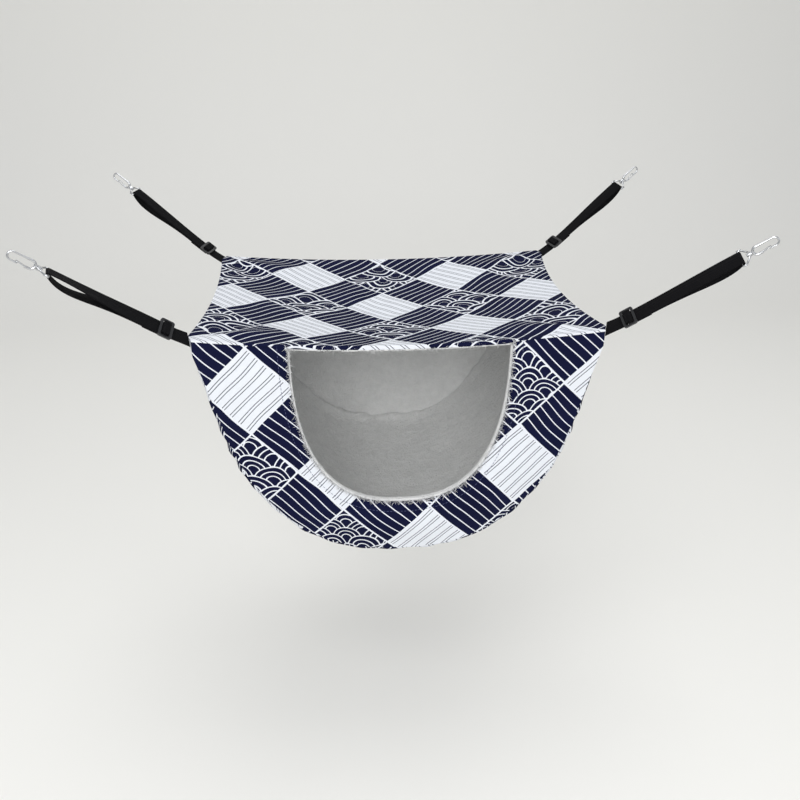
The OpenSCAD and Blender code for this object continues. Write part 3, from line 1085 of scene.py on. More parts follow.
    def section(self, t: np.ndarray, turn: np.ndarray, inset: np.ndarray) -> tuple[np.ndarray, np.ndarray]:
        """The den's section, from the left seam over the floor to the right seam.

        Args:
            t: place between the front seam and the rear seam.
            turn: angle from the floor, a quarter turn at a seam.
            inset: how far inside the outer face.

        Returns:
            The place across, and the depth below the seam line.
        """
        flat = mix(self.front_power[0], self.back_power[0], t)
        steep = mix(self.front_power[1], self.back_power[1], t)
        fill = hump(t) ** self.swell_rate
        reach = np.abs(np.sin(turn))
        fall = np.maximum(np.cos(turn), 0.0)
        half = (self.roof_w / 2 - self.curve_on(turn) * hump(t) * reach ** self.curve_fade
                + self.belly_swell * fill * fall
                - self.pinch * (1.0 - t) * hump(np.clip(fall / self.pinch_end, 0.0, 1.0)))
        drop = mix(self.front_drop, self.back_drop, t) + self.belly_swell * fill
        return np.sign(turn) * (half - inset) * reach ** (2 / flat), (drop - inset) * fall ** (2 / steep)

    def low_share(self, turn: np.ndarray) -> np.ndarray:
        """0 at the pulled corners, and 1 on the lower part of the front seam."""
        return ease(np.cos(turn) / self.roll_start)

    def puckers(self, turn: np.ndarray) -> np.ndarray:
        """Uneven puckers along the front seam, about -1 to 1, crowded by two slower waves."""
        return np.sin(48.0 * turn + 2.2 * np.sin(7.0 * turn)) * (0.6 + 0.4 * np.sin(13.0 * turn + 1.0))

    def rolled(self, y: np.ndarray, turn: np.ndarray) -> np.ndarray:
        """How far the belly rolls in to meet the front panel's sewn edge.

        Args:
            y: place between front and rear.
            turn: angle from the floor.

        Returns:
            The extra inset, with the seam's puckers.
        """
        behind = y + self.roof_d / 2 - self.cover_head
        back = np.clip(behind / self.roll_depth, 0.0, 1.0)
        curl = 1.0 - np.sqrt(1.0 - (1.0 - back) ** 2)
        proud = self.roll_out * (1.0 - ease(behind / self.roll_fade))
        gather = self.pucker * self.puckers(turn) * hump(back)
        return self.low_share(turn) * (self.roll * curl - proud + gather)

    def front_edge(self, turn: np.ndarray) -> tuple[np.ndarray, np.ndarray]:
        """The front panel's sewn edge, which laps the belly's rolled edge, across and in depth."""
        inset = (self.roll - self.roll_out - self.canvas_t) * self.low_share(turn)
        return self.section(np.zeros_like(turn), turn, inset)

    def hung(self, x: np.ndarray, y: np.ndarray, t: np.ndarray, depth: np.ndarray, head: float) -> np.ndarray:
        """A point of cloth at a depth below the seam line, under the layers of the roof."""
        z = np.minimum(self.seam_z(x, t) - self.cover_head - depth, self.roof_z(x, y) - head)
        return np.stack([x, y, z], -1)

    def head_turn(self, t: np.ndarray) -> np.ndarray:
        """The section's turn where the linings of roof and belly meet."""
        steep = mix(self.front_power[1], self.back_power[1], t)
        return np.arccos(((self.plush_t + self.seam_gap) / self.back_drop) ** (steep / 2))

    def rows(self, end: float, count: int) -> np.ndarray:
        """Places from front to back, with one at each end of the blunt corners.

        Args:
            end: how far the places reach, to the front and to the back.
            count: places between the blunt corners.

        Returns:
            The places.
        """
        turn = self.roof_d / 2 - self.cut_y
        steps = max(self.corner_least, count // self.corner_share)
        return np.concatenate([np.linspace(-end, -turn, steps)[:-1], np.linspace(-turn, turn, count),
                               np.linspace(turn, end, steps)[1:]])

    def roof_face(self, inset: float, set_in: float, below: float, count: int) -> np.ndarray:
        """One face of a layer of the roof.

        Args:
            inset: how far inside the side seams.
            set_in: how far inside the front and rear seams.
            below: how far under the roof's top.
            count: points across.

        Returns:
            The face as a grid of points.
        """
        y = self.rows(self.roof_d / 2 - set_in, count * 3 // 4)[None, :]
        share = np.linspace(-1.0, 1.0, count)[:, None]
        t = self.along(y)
        half = (np.abs(self.section(t, np.sign(share) * self.head_turn(t), inset)[0]) if inset
                else self.roof_half(t, share))
        x = share * np.minimum(half, self.corner_limit(y, inset))
        y = y + 0.0 * x
        return np.stack([x, y, self.roof_z(x, y) - below], -1)

    def wall_face(self, inset: float, set_in: float, head: float, count: int) -> np.ndarray:
        """One face of a layer of the belly.

        Args:
            inset: how far inside the outer face.
            set_in: how far inside the front and rear seams.
            head: room under the top of the roof.
            count: points round the section.

        Returns:
            The face as a grid of points.
        """
        y = self.rows(self.roof_d / 2 - set_in, count // 2)[None, :]
        t = self.along(y)
        top = self.head_turn(t) if set_in == self.wall_set else math.pi / 2
        turn = np.linspace(-1.0, 1.0, count)[:, None] * top
        along, around = self.belly_crease
        slack = self.ripple * self.creases(along * y, around * turn) * np.sqrt(hump(t)) * np.cos(turn)
        x, depth = self.section(t, turn + 0.0 * y, inset + slack + self.rolled(y, turn))
        return self.hung(self.blunt(x, y, inset), y + 0.0 * x, t, depth, head)

    def mouth_rim(self, turn: np.ndarray) -> tuple[np.ndarray, np.ndarray]:
        """The rim of the mouth.

        Args:
            turn: angle round the mouth, 0 at its foot.

        Returns:
            The place across, and the depth below the seam line.
        """
        reach = np.abs(np.sin(turn)) ** (2 / self.mouth_power)
        fall = np.maximum(np.cos(turn), 0.0) ** (2 / self.mouth_power)
        return np.sign(turn) * self.mouth_w / 2 * reach, self.mouth_h * fall

    def mouth_band(self, turn: np.ndarray) -> tuple[np.ndarray, ...]:
        """The front panel's band between the mouth's rim and the sewn edge.

        Args:
            turn: angle round the mouth, 0 at its foot.

        Returns:
            The rim across and in depth, the edge across and in depth, and the width between them.
        """
        rim_x, rim_d = self.mouth_rim(turn)
        out_x, out_d = self.front_edge(turn)
        return rim_x, rim_d, out_x, out_d, np.hypot(out_x - rim_x, out_d - rim_d)

    def front_face(self, turn: np.ndarray, across: np.ndarray, inset: float, peek: float, set_in: float,
                   head: float, hem: float = 0.0) -> np.ndarray:
        """Points of the front panel.

        Args:
            turn: angle round the mouth, 0 at its foot.
            across: 0 at the mouth's rim and 1 at the front seam.
            inset: how far inside the seam.
            peek: how far past the rim.
            set_in: how far behind the panel's front.
            head: room under the top of the roof.
            hem: extra rise of the sewn hem round the mouth.

        Returns:
            The points.
        """
        rim_x, rim_d, out_x, out_d, band = self.mouth_band(turn)
        share = mix(-peek / band, 1.0 - inset / band, across)
        x = mix(rim_x, out_x, share)
        depth = mix(rim_d, out_d, share)
        y = np.full_like(x, -self.roof_d / 2 + set_in)
        fall = np.maximum(np.cos(turn), 0.0)
        crown = self.front_crown * fall ** self.crown_fade * np.sin(math.pi * mix(self.lip_share, 1.0, share))
        slack = np.sqrt(hump(np.clip(share, 0.0, 1.0)))
        swell = self.ripple * self.creases(x + self.front_crease, depth) * slack
        rise = hem * (1.0 - ease((share * band - self.hem_w) / (self.hem_fade * self.hem_w)))
        points = self.hung(self.blunt(x, y, inset), y, np.zeros_like(x), depth, head)
        gather = self.pucker * (0.5 + 0.5 * self.puckers(turn)) * self.low_share(turn)
        gather = gather * ease((share - self.gather_from) / (1.0 - self.gather_from))
        points[..., 1] -= crown + swell + rise + gather
        return points

    def back_face(self, inset: float, set_in: float, head: float, count: int) -> np.ndarray:
        """One face of a layer of the back panel.

        Args:
            inset: how far inside the seam.
            set_in: how far in front of the panel's back.
            head: room under the top of the roof.
            count: points across.

        Returns:
            The face as a grid of points.
        """
        across = np.linspace(-1.0, 1.0, count)[:, None]
        down = np.linspace(0.0, 1.0, count // 2)[None, :]
        half = self.roof_w / 2 - inset
        x = np.sin(math.pi / 2 * across) * (half - self.cut_x)
        drop = ((self.back_drop - inset)
                * (1.0 - (np.abs(x) / half) ** self.back_power[0]) ** (1.0 / self.back_power[1]))
        roof = self.roof_z(x, np.full_like(x, self.roof_d / 2 - set_in))
        z = mix(roof - head, self.seam_z(x, np.ones_like(x)) - self.cover_head - drop, down)
        bulge = np.sin(math.pi * down) * np.cos(math.pi / 2 * across)
        x = x + 0.0 * down
        slack = self.ripple * self.creases(x + self.back_crease, z)
        y = self.roof_d / 2 - set_in + bulge * (self.back_crown + slack)
        return np.stack([x, y, z], -1)

    def pile(self, face: np.ndarray) -> np.ndarray:
        """How far uneven pile lifts each point of a plush face."""
        flat = [noise.noise(Vector(p) * self.pile_lumps) for p in face.reshape(-1, 3)]
        return self.pile_lift * np.array(flat).reshape(face.shape[:2])

    def lapped(self, face: np.ndarray) -> np.ndarray:
        """How far the floor's rear edge laps up unevenly over the foot of the back lining.

        Args:
            face: the floor's upper face, as a grid of points.

        Returns:
            The rise of each point of the grid.
        """
        x, y = face[..., 0], face[..., 1]
        near = np.clip(1.0 - (y.max() - y) / self.lap_w, 0.0, 1.0)
        uneven = (np.sin(58.0 * x + 1.4 * np.sin(43.0 * x)) + 0.6 * np.sin(151.0 * x + 0.8)
                  + 0.4 * np.sin(322.0 * x + 2.0 * np.sin(97.0 * x)))
        # The crease swells up to a crest and drops again at the very edge.
        crest = ease(near * self.lap_rise) - self.lap_drop * near ** self.lap_edge
        return self.lap * (self.lap_share + self.lap_uneven * uneven) * crest

    def hemmed(self, top: np.ndarray, under: np.ndarray) -> tuple[np.ndarray, np.ndarray, np.ndarray]:
        """Turns the roof's front edge down over the mouth, to cover the lining's edge.

        Args:
            top: upper face of the cover, front row first.
            under: lower face of the cover.

        Returns:
            Both faces with the hem's rows, and how far each point hangs on the hem.
        """
        x = top[:, 0, 0]
        inside = self.mouth_w / 2 + self.hem_taper / 2 - np.abs(x)
        depth = mix(self.hem_seam, self.hem_fall, ease(inside / self.hem_taper))
        steps = np.linspace(1.0, 0.0, self.hem_rows + 1)[:-1]
        fall = depth[:, None] * steps[None, :]
        lip = self.canvas_t * self.hem_lip * (1.0 - np.exp(-fall / self.canvas_t))
        across = x[:, None] + 0.0 * fall
        outer = np.stack([across, top[:, :1, 1] - lip, top[:, :1, 2] - fall], -1)
        inner_z = top[:, :1, 2] - np.maximum(fall, self.canvas_t) - self.hem_slope * (1.0 - steps)
        inner = np.stack([across, top[:, :1, 1] - lip + self.canvas_t, inner_z], -1)
        hang = np.concatenate([fall, np.zeros(top.shape[:2])], 1)
        low = under.copy()
        low[:, 0, 1] += self.canvas_t
        return np.concatenate([outer, top], 1), np.concatenate([inner, low], 1), hang

    def roof(self, finishes: "Finishes") -> list[bpy.types.Object]:
        """Makes the roof.

        Args:
            finishes: the materials.

        Returns:
            Its cover and its lining.
        """
        top = self.roof_face(0.0, 0.0, 0.0, self.roof_points)
        under = self.roof_face(0.0, 0.0, self.canvas_t, self.roof_points)
        top, under, fall = self.hemmed(top, under)
        places = self.roof_print.places(top[..., 0], top[..., 1] - fall)
        cover = new_piece(sheet_mesh("den_roof_cover", top, under, places), finishes.roof_canvas)
        back = self.roof_face(self.panel_set, self.panel_set, self.cover_head, self.roof_points)
        nap = self.roof_face(self.panel_set, self.panel_set, self.cover_head + self.plush_t, self.roof_points)
        nap[..., 2] += self.pile(nap)
        lining = new_piece(sheet_mesh("den_roof_lining", back, nap, back[..., :2]), finishes.plush)
        return [cover, lining]

    def belly(self, finishes: "Finishes") -> list[bpy.types.Object]:
        """Makes the belly, one strip from seam to seam.

        Args:
            finishes: the materials.

        Returns:
            Its cover and its lining.
        """
        outer = self.wall_face(0.0, self.cover_head, self.cover_head, self.belly_points)
        inner = self.wall_face(self.canvas_t, self.cover_head, self.cover_head, self.belly_points)
        steps = np.linalg.norm(np.diff(outer, axis=0), axis=-1)
        run = np.concatenate([np.zeros((1, outer.shape[1])), np.cumsum(steps, 0)])
        run = run - run[len(run) // 2]
        places = self.belly_print.places(outer[..., 1], run)
        cover = new_piece(sheet_mesh("den_belly_cover", inner, outer, places), finishes.canvas)
        back = self.wall_face(self.panel_set, self.wall_set, self.lining_head, self.lining_points)
        nap = self.wall_face(self.panel_set + self.plush_t, self.wall_set, self.lining_head,
                             self.lining_points)
        nap[..., 2] += self.pile(nap) + self.lapped(nap)
        lining = new_piece(sheet_mesh("den_belly_lining", nap, back, back[..., :2]), finishes.plush)
        return [cover, lining]

    def front(self, finishes: "Finishes") -> list[bpy.types.Object]:
        """Makes the front panel, a band round the mouth.

        Args:
            finishes: the materials.

        Returns:
            Its cover and its lining.
        """
        turn, across = np.meshgrid(np.linspace(-math.pi / 2, math.pi / 2, self.front_points),
                                   np.linspace(0.0, 1.0, self.front_lanes), indexing="ij")
        face = self.front_face(turn, across, 0.0, 0.0, 0.0, self.cover_head, self.hem_rise)
        rear = self.front_face(turn, across, 0.0, 0.0, self.canvas_t, self.cover_head)
        places = self.front_print.places(face[..., 0], face[..., 2])
        cover = new_piece(sheet_mesh("den_front_cover", rear, face, places), finishes.canvas)
        back = self.front_face(turn, across, self.edge_set, self.plush_peek, self.panel_set, self.lining_head)
        nap = self.front_face(turn, across, self.edge_set, self.plush_peek,
                              self.panel_set + self.plush_t, self.lining_head)
        nap[..., 1] += self.pile(nap)
        lining = new_piece(sheet_mesh("den_front_lining", nap, back, back[..., ::2]), finishes.plush)
        return [cover, lining]

    def back(self, finishes: "Finishes") -> list[bpy.types.Object]:
        """Makes the back panel.

        Args:
            finishes: the materials.

        Returns:
            Its cover and its lining.
        """
        outer = self.back_face(0.0, 0.0, self.cover_head, self.back_points)
        inner = self.back_face(0.0, self.canvas_t, self.cover_head, self.back_points)
        places = self.back_print.places(-outer[..., 0], outer[..., 2])
        cover = new_piece(sheet_mesh("den_back_cover", outer, inner, places), finishes.canvas)
        back = self.back_face(self.panel_set, self.panel_set, self.lining_head, self.back_points)
        nap = self.back_face(self.panel_set, self.panel_set + self.plush_t, self.lining_head,
                             self.back_points)
        nap[..., 1] -= self.pile(nap)
        lining = new_piece(sheet_mesh("den_back_lining", back, nap, back[..., ::2]), finishes.plush)
        return [cover, lining]

    def rim_line(self, away: float, set_in: float, count: int = 160) -> np.ndarray:
        """A line round the mouth on the front panel.

        Args:
            away: metres out from the rim.
            set_in: how far behind the panel's front.
            count: points on the line.

        Returns:
            The points.
        """
        turn = np.linspace(-math.pi / 2, math.pi / 2, count)
        share = away / self.mouth_band(turn)[-1]
        return self.front_face(turn, share, 0.0, 0.0, set_in, self.cover_head, self.hem_rise)

    def roof_edge_line(self, drop: float, count: int = 90) -> np.ndarray:
        """A line under the roof's front edge, over the mouth.

        Args:
            drop: metres below the roof's top.
            count: points on the line.

        Returns:
            The points.
        """
        x = np.linspace(-self.mouth_w / 2, self.mouth_w / 2, count)
        y = np.full_like(x, -self.roof_d / 2 + self.panel_set)
        return np.stack([x, y, self.roof_z(x, y) - drop], -1)

    def build(self, finishes: "Finishes") -> None:
        """Makes and dresses the whole body.

        Args:
            finishes: the materials.
        """
        made = {"roof": self.roof(finishes), "belly": self.belly(finishes),
                "front": self.front(finishes), "back": self.back(finishes)}
        cuts = {"roof": (self.roof_w, self.roof_d),
                "belly": (self.belly_run, self.roof_d + 2 * self.roll),
                "front": (self.roof_w, self.front_drop + self.seam_room),
                "back": (self.roof_w, self.back_drop + self.seam_room)}
        for panel, (cover, lining) in made.items():
            ride(cover, "hammock", Slot.CANVAS, f"{panel}_cover")
            ride(lining, "hammock", Slot.PLUSH, f"{panel}_lining")
        self.trim_mouth(finishes)

    def trim_mouth(self, finishes: "Finishes") -> None:
        """Sews the hem's stitches round the mouth, and lets plush fibres stand out along its rim.

        Args:
            finishes: the materials.
        """
        sewing = Sewing(finishes.thread, finishes.fibre)
        row = grow_along("mouth_stitches", self.rim_line(self.hem_w, -self.stitch_rise), sewing.stitches(),
                         {"Step": self.stitch_step, "Length": self.stitch_l, "Radius": self.stitch_r})
        ride(new_piece(row, finishes.thread), "hammock", Slot.CANVAS)
        rim = self.rim_line(0.0, -self.fringe_rise)
        lip = np.concatenate([rim, self.roof_edge_line(self.hem_fall)[::-1]])
        fringe = grow_along("mouth_fringe", lip, sewing.fibres(),
                            {"Step": self.fringe_step, "Length": self.fringe_l, "Radius": self.fringe_r,
                             "Spread": self.fringe_spread}, closed=True)
        ride(new_piece(fringe, finishes.fibre), "hammock", Slot.PLUSH)


# Straps


@dataclass
class Strap:
    """One corner's webbing, slider, ring, hook and gate. Lengths are in metres."""

    corner: Corner
    # Webbing
    web_w: float = 0.015
    web_t: float = 0.0012
    web_gap: float = 0.0003
    edge_round: float = 0.0009
    edge_least: float = 0.12
    front_roll: float = math.radians(45.0)
    rear_roll: float = math.radians(12.0)
    # Its ends, the fold round the ring and the slack on the way back
    root_drop: float = 0.004
    root_stiff: float = 0.004
    cut_length: float = 0.013
    sew_gap: float = 0.0004
    sewn_end: float = 0.024
    split_gap: float = 0.0001
    fold_room: float = 0.0003
    loop_slack: float = 0.007
    ring_wire: float = 0.0020
    # Slider
    slider_at: float = 0.028
    slider_l: float = 0.016
    slider_t: float = 0.0026
    slider_bar: float = 0.0026
    slider_lead: float = 0.003
    slider_round: float = 0.0006
    # Steps along and lanes across the webbing's mesh, and the angles that its hardware is smoothed by
    step: float = 0.0011
    least_step: float = 0.00015
    step_digits: int = 6
    loop_steps: int = 40
    eye_steps: int = 24
    lanes: int = 19
    weld: float = 1e-6
    flat_angle: float = math.radians(0.5)
    sharp_angle: float = math.radians(38.0)
    round_angle: float = math.radians(40.0)
    round_steps: int = 3

    def __post_init__(self) -> None:
        """Reads the strap's frame from the joints, and works out the webbing's levels."""
        joints = {j["name"]: j for j in frame["joints"]}
        place = self.corner.place
        self.root = np.array(joints[f"strap_swing_{place}"]["pos_m"])
        self.out = np.array(joints[f"slider_slide_{place}"]["axis"])
        self.level = -np.array(joints[f"strap_swing_{place}"]["axis"])
        self.up = np.cross(self.out, self.level)
        ring = joints[f"ring_swing_{place}"]
        self.reach = float(np.dot(np.array(ring["pos_m"]) - self.root, self.out))
        turned = np.array(ring["axis"])
        self.ring_roll = math.atan2(float(turned @ self.up), float(turned @ self.level))
        self.slider_roll = self.corner.side * (self.front_roll if self.corner.front else self.rear_roll)
        half = self.web_t / 2
        self.run_under = -(self.slider_t / 2 + self.web_gap + half)
        self.run_over = self.slider_t / 2 + 2 * self.web_gap + 3 * half
        self.run_slot = self.slider_bar / 2 + 2 * self.web_gap + 3 * half
        self.wrap_over = self.slider_t / 2 + self.web_gap + half
        self.wrap_slot = self.slider_bar / 2 + self.web_gap + half
        self.back_under = self.run_under - self.web_gap - self.web_t
        self.end_under = self.back_under - self.web_gap - self.web_t
        self.fold = half + self.fold_room
        self.eye_r = self.ring_wire / 2 + self.web_gap + half
        self.near_stop = self.slider_at - self.slider_l / 2 - self.slider_lead
        self.far_stop = self.slider_at + self.slider_l / 2 + self.slider_lead
        self.sewn_stop = self.slider_at + self.sewn_end + self.slider_lead

    @property
    def corner_z(self) -> float:
        """Height of the roof's corner, just above the strap's seam."""
        return float(self.root[2]) + self.root_drop

    def at(self, s: float) -> Vector:
        """The point of the strap's middle line at a distance from its sewn end."""
        return Vector(self.root + self.out * s)

    def roll(self, s: np.ndarray) -> np.ndarray:
        """Roll of the webbing, which turns from the slider's lie to the ring's.

        Args:
            s: distances from the sewn end.

        Returns:
            The roll at each, in radians.
        """
        start = self.slider_at + self.slider_l
        stop = self.reach - self.slider_l / 2
        return mix(self.slider_roll, self.ring_roll, ease((s - start) / (stop - start)))

    @staticmethod
    def arc(middle: tuple[float, float], r: float, start: float, stop: float, steps: int = 8) -> Route:
        """Points of an arc, with its angles in degrees."""
        turns = np.radians(np.linspace(start, stop, steps + 1))
        return [(middle[0] + r * math.cos(a), middle[1] + r * math.sin(a)) for a in turns]

    def turn_at(self, side: float, level: float, rise: int, start: float, stop: float) -> Route:
        """A quarter turn of the webbing beside the slider's middle."""
        return self.arc((self.slider_at + side, level + rise * self.fold), self.fold, start, stop)

    def tail_path(self) -> Route:
        """From the corner, under the slider's first bar and up over its middle.

        Returns:
            Distances from the seam, and heights.
        """
        return [(self.sew_gap, 0.0), (self.near_stop, self.run_under),
                *self.turn_at(-self.run_slot - self.fold, self.run_under, 1, -90, 0),
                *self.turn_at(-self.run_slot + self.fold, self.run_over, -1, 180, 90),
                (self.slider_at - self.split_gap, self.run_over)]

    def loop_path(self) -> Route:
        """Down through the slider, out round the ring, back round the middle bar and sewn down.

        Returns:
            Distances from the seam, and heights.
        """
        share = np.linspace(0.0, 1.0, self.loop_steps + 1)
        there, back = share[:-1], share[1:]
        upper = zip(mix(self.far_stop, self.reach, there), mix(self.run_under, self.eye_r, ease(there)))
        sag = self.loop_slack * np.sin(math.pi * np.sqrt(back)) ** 2
        lower = zip(mix(self.reach, self.sewn_stop, back), mix(-self.eye_r, self.back_under, back) - sag)
        return [(self.slider_at + self.split_gap, self.run_over),
                *self.turn_at(self.run_slot - self.fold, self.run_over, -1, 90, 0),
                *self.turn_at(self.run_slot + self.fold, self.run_under, 1, 180, 270),
                *upper, *self.arc((self.reach, 0.0), self.eye_r, 90, -90, self.eye_steps), *lower,
                *self.turn_at(self.wrap_slot + self.fold, self.back_under, 1, 270, 180),
                *self.turn_at(self.wrap_slot - self.fold, self.wrap_over, -1, 0, 90),
                *self.turn_at(-self.wrap_slot + self.fold, self.wrap_over, -1, 90, 180),
                *self.turn_at(-self.wrap_slot + self.fold, self.end_under, 1, 180, 270),
                (self.slider_at + self.sewn_end, self.end_under)]

    def webbing(self, name: str, path: Route, sewn: bool = False) -> bpy.types.Mesh:
        """Webbing along a path of distances and heights.

        Args:
            name: the mesh's name.
            path: the path's points.
            sewn: whether its start is cut to the upright face of the corner.

        Returns:
            The mesh.
        """
        rough = np.array(path)
        gaps = np.linalg.norm(np.diff(rough, axis=0), axis=1)
        rough = rough[np.concatenate([[True], gaps > self.weld])]
        run = np.concatenate([[0.0], np.cumsum(np.linalg.norm(np.diff(rough, axis=0), axis=1))])
        even = np.linspace(0.0, run[-1], int(run[-1] / self.step) + 1)
        stops = np.unique(np.concatenate([run, even]).round(self.step_digits))
        stops = stops[np.concatenate([[True], np.diff(stops) > self.least_step])]
        line = np.stack([np.interp(stops, run, rough[:, 0]), np.interp(stops, run, rough[:, 1])], -1)
        way = np.gradient(line, axis=0)
        way /= np.linalg.norm(way, axis=1, keepdims=True)
        lift = np.stack([-way[:, 1], way[:, 0]], -1)
        across = np.sin(np.linspace(-math.pi / 2, math.pi / 2, self.lanes)) * self.web_w / 2
        edge = np.clip((np.abs(across) - (self.web_w / 2 - self.edge_round)) / self.edge_round, 0.0, 1.0)
        thick = self.web_t / 2 * np.sqrt(np.maximum(1.0 - edge ** 2, self.edge_least))
        faces = []
        for side in (1.0, -1.0):
            flat = line[:, None, :] + side * lift[:, None, :] * thick[None, :, None]
            r = self.roll(flat[..., 0])
            y = across[None, :] * np.cos(r) - flat[..., 1] * np.sin(r)
            z = across[None, :] * np.sin(r) + flat[..., 1] * np.cos(r)
            s = flat[..., 0]
            if sewn:
                s = s + z * self.out[2] / math.hypot(*self.out[:2]) * (1.0 - ease(s / self.cut_length))
            faces.append(self.root + s[..., None] * self.out + y[..., None] * self.level
                         + z[..., None] * self.up)
        uv = np.stack(np.broadcast_arrays(stops[:, None], across[None, :]), -1)
        return sheet_mesh(name, faces[0], faces[1], uv)

    def smooth_copy(self, node: str, name: str, bevel: float = 0.0) -> bpy.types.Mesh:
        """A welded, smooth copy of a rigid node.

        Args:
            node: the node's name.
            name: the copy's name.
            bevel: width of its rounded edges.

        Returns:
            The copy.
        """
        mesh = frame["nodes"][node].data.copy()
        mesh.name = name
        work = bmesh.new()
        work.from_mesh(mesh)
        bmesh.ops.remove_doubles(work, verts=work.verts, dist=self.weld)
        if bevel:
            bmesh.ops.dissolve_limit(work, angle_limit=self.flat_angle, verts=work.verts, edges=work.edges)
        work.to_mesh(mesh)
        work.free()
        mesh.polygons.foreach_set("use_smooth", np.ones(len(mesh.polygons), bool))
        mesh.set_sharp_from_angle(angle=self.sharp_angle)
        if not bevel:
            return mesh
        carrier = in_scene(name, mesh)
        rounder = carrier.modifiers.new("round", "BEVEL")
        rounder.width = bevel
        rounder.segments = self.round_steps
        rounder.limit_method = "ANGLE"
        rounder.angle_limit = self.round_angle
        rounder.harden_normals = True
        return baked(carrier, name)

    def build(self, finishes: "Finishes") -> None:
        """Makes and dresses the strap and its hardware.

        Args:
            finishes: the materials.
        """
        place, body = self.corner.place, self.corner.value
        tail = new_piece(self.webbing(f"webbing_tail_{place}", self.tail_path(), sewn=True), finishes.webbing)
        self.at(self.root_stiff)
        self.at(self.near_stop)
        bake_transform(tail)
        loop = new_piece(self.webbing(f"webbing_loop_{place}", self.loop_path()), finishes.webbing)
        self.at(self.sewn_stop)
        self.at(self.reach - 2 * self.eye_r)
        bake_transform(loop)
        for piece, node in ((tail, f"strap_tail_{place}"), (loop, f"strap_loop_{place}")):
            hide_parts(node)
            LOG.info("%s bends between its bodies", piece.name)
        slider = self.smooth_copy(f"slider_{place}", f"strap_slider_{place}", self.slider_round)
        ride(new_piece(slider, finishes.plastic), f"{body}_slider", Slot.SLIDER, f"slider_{place}")
        for part in ("ring", "hook", "gate"):
            wire = self.smooth_copy(f"{part}_{place}", f"strap_{part}_{place}")
            ride(new_piece(wire, finishes.nickel), f"{body}_{part}", Slot.NICKEL, f"{part}_{place}")


# Materials and stage


class Finishes:
    """Every material of the part, made once."""

    def __init__(self) -> None:
        """Makes the materials."""
        self.canvas = PrintedCanvas("printed_canvas").material()
        self.roof_canvas = PrintedCanvas(
            "printed_canvas_roof", stripes_rise=True, turn_over=0.5, scale_r=0.25, scale_row=0.19,
            ring_step=0.34, ring_half=0.049).material()
        self.plush = Plush("grey_plush").material()
        self.fibre = Thread("plush_fibre", colour=srgb("eeeeee")).material()
        self.thread = Thread("sewing_thread", colour=srgb("555b84")).material()
        self.webbing = Webbing("black_webbing").material()
        self.plastic = GlossPlastic("gloss_black").material()
        self.nickel = Nickel("bright_nickel").material()


@dataclass(frozen=True)
class Lamp:
    """One soft square lamp: its place, the point that it lights, its side and its power."""

    name: str
    place: Place
    aim: Place
    side: float
    watts: float

    def add(self) -> None:
        """Hangs the lamp in the scene, turned to its point."""
        data = bpy.data.lights.new(self.name, "AREA")
        data.size = self.side
        data.energy = self.watts
        lamp = in_scene(self.name, data)
        lamp.location = self.place
        lamp.rotation_euler = (Vector(self.aim) - Vector(self.place)).to_track_quat("-Z", "Y").to_euler()


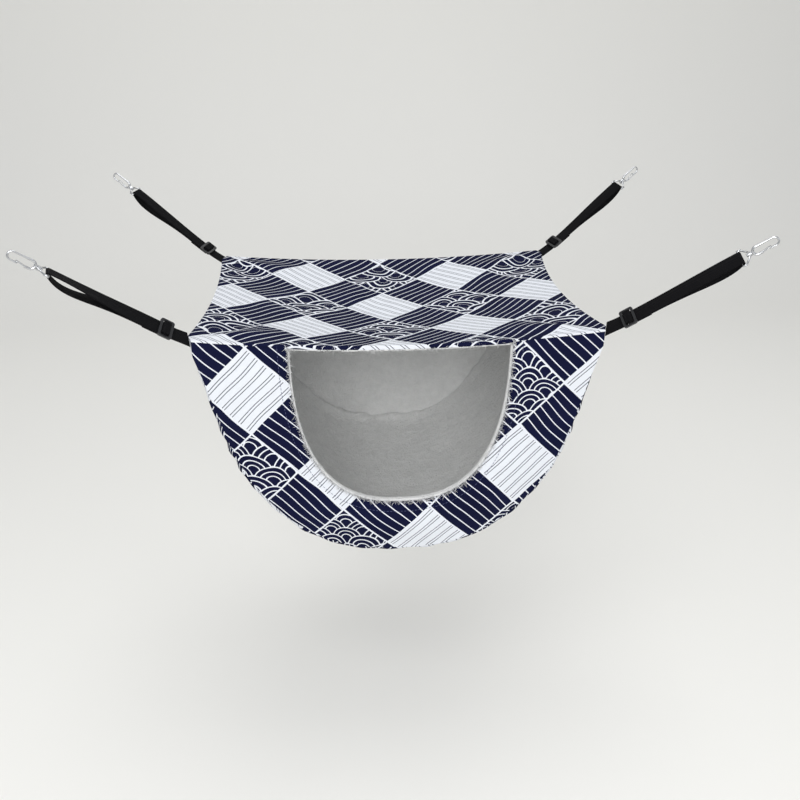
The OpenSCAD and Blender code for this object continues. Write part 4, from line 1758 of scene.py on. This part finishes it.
@dataclass
class Studio:
    """Ground, light and the photograph's camera."""

    floor_z: float = -0.66
    cove_y: float = 1.5
    cove_r: float = 0.9
    cove_points: int = 16
    reach: float = 6.0
    eye: Place = (-0.066, -1.039, 0.210)
    pitch: float = math.radians(24.52)
    yaw: float = math.radians(4.26)
    focal_px: float = 842.8
    frame_px: float = 800.0
    sensor: float = 36.0
    sky: Colour = (0.95, 0.97, 1.0, 1.0)
    sky_strength: float = 0.55
    lamps: tuple[Lamp, ...] = (
        Lamp("key", (-0.9, -1.7, 1.9), (0.0, 0.0, -0.2), 1.6, 16.5),
        Lamp("fill", (1.8, -1.5, 0.7), (0.0, 0.0, -0.2), 1.4, 5.0),
        Lamp("top", (0.2, 0.5, 1.9), (0.0, 0.0, -0.2), 1.6, 16.5),
        Lamp("front", (-0.2, -1.75, 0.52), (0.0, 0.0, -0.28), 0.8, 15.0),
    )

    def camera(self) -> None:
        """Puts the camera at the photograph's place."""
        data = bpy.data.cameras.new("camera")
        data.sensor_width = self.sensor
        data.lens = self.focal_px / self.frame_px * self.sensor
        eye = in_scene("camera", data)
        eye.location = self.eye
        eye.rotation_euler = (math.pi / 2 - self.pitch, 0.0, -self.yaw)
        bpy.context.scene.camera = eye

    def ground(self) -> None:
        """Lays a pale floor that curves up into a backdrop."""
        turns = np.linspace(0.0, math.pi / 2, self.cove_points)
        profile = [(-self.reach, self.floor_z)]
        profile += [(self.cove_y + self.cove_r * math.sin(a), self.floor_z + self.cove_r * (1 - math.cos(a)))
                    for a in turns]
        profile.append((self.cove_y + self.cove_r, self.reach))
        mesh = bpy.data.meshes.new("ground")
        points = [(x, y, z) for y, z in profile for x in (-self.reach, self.reach)]
        faces = [(2 * k, 2 * k + 1, 2 * k + 3, 2 * k + 2) for k in range(len(profile) - 1)]
        mesh.from_pydata(points, [], faces)
        mesh.polygons.foreach_set("use_smooth", np.ones(len(faces), bool))
        ground = new_piece(mesh, PaleGround("pale_ground").material())

    def light(self) -> None:
        """Soft studio light from above and in front, and a pale surround."""
        scene = bpy.context.scene
        world = bpy.data.worlds.new("surround")
        world.use_nodes = True
        g = Graph(world.node_tree)
        sky = g.add("ShaderNodeBackground", None, {"Color": self.sky, "Strength": self.sky_strength})
        g.add("ShaderNodeOutputWorld", None, {"Surface": sky})
        scene.world = world
        for lamp in self.lamps:
            lamp.add()
        scene.view_settings.view_transform = "Standard"


def main() -> None:
    """Builds the stage, the body and the straps."""
    logging.basicConfig(level=logging.INFO, format="%(name)s: %(message)s")
    studio = Studio()
    studio.camera()
    studio.ground()
    studio.light()
    finishes = Finishes()
    straps = [Strap(corner) for corner in Corner]
    Den(corner_z=straps[0].corner_z).build(finishes)
    for strap in straps:
        strap.build(finishes)


if __name__ == "__main__":
    main()
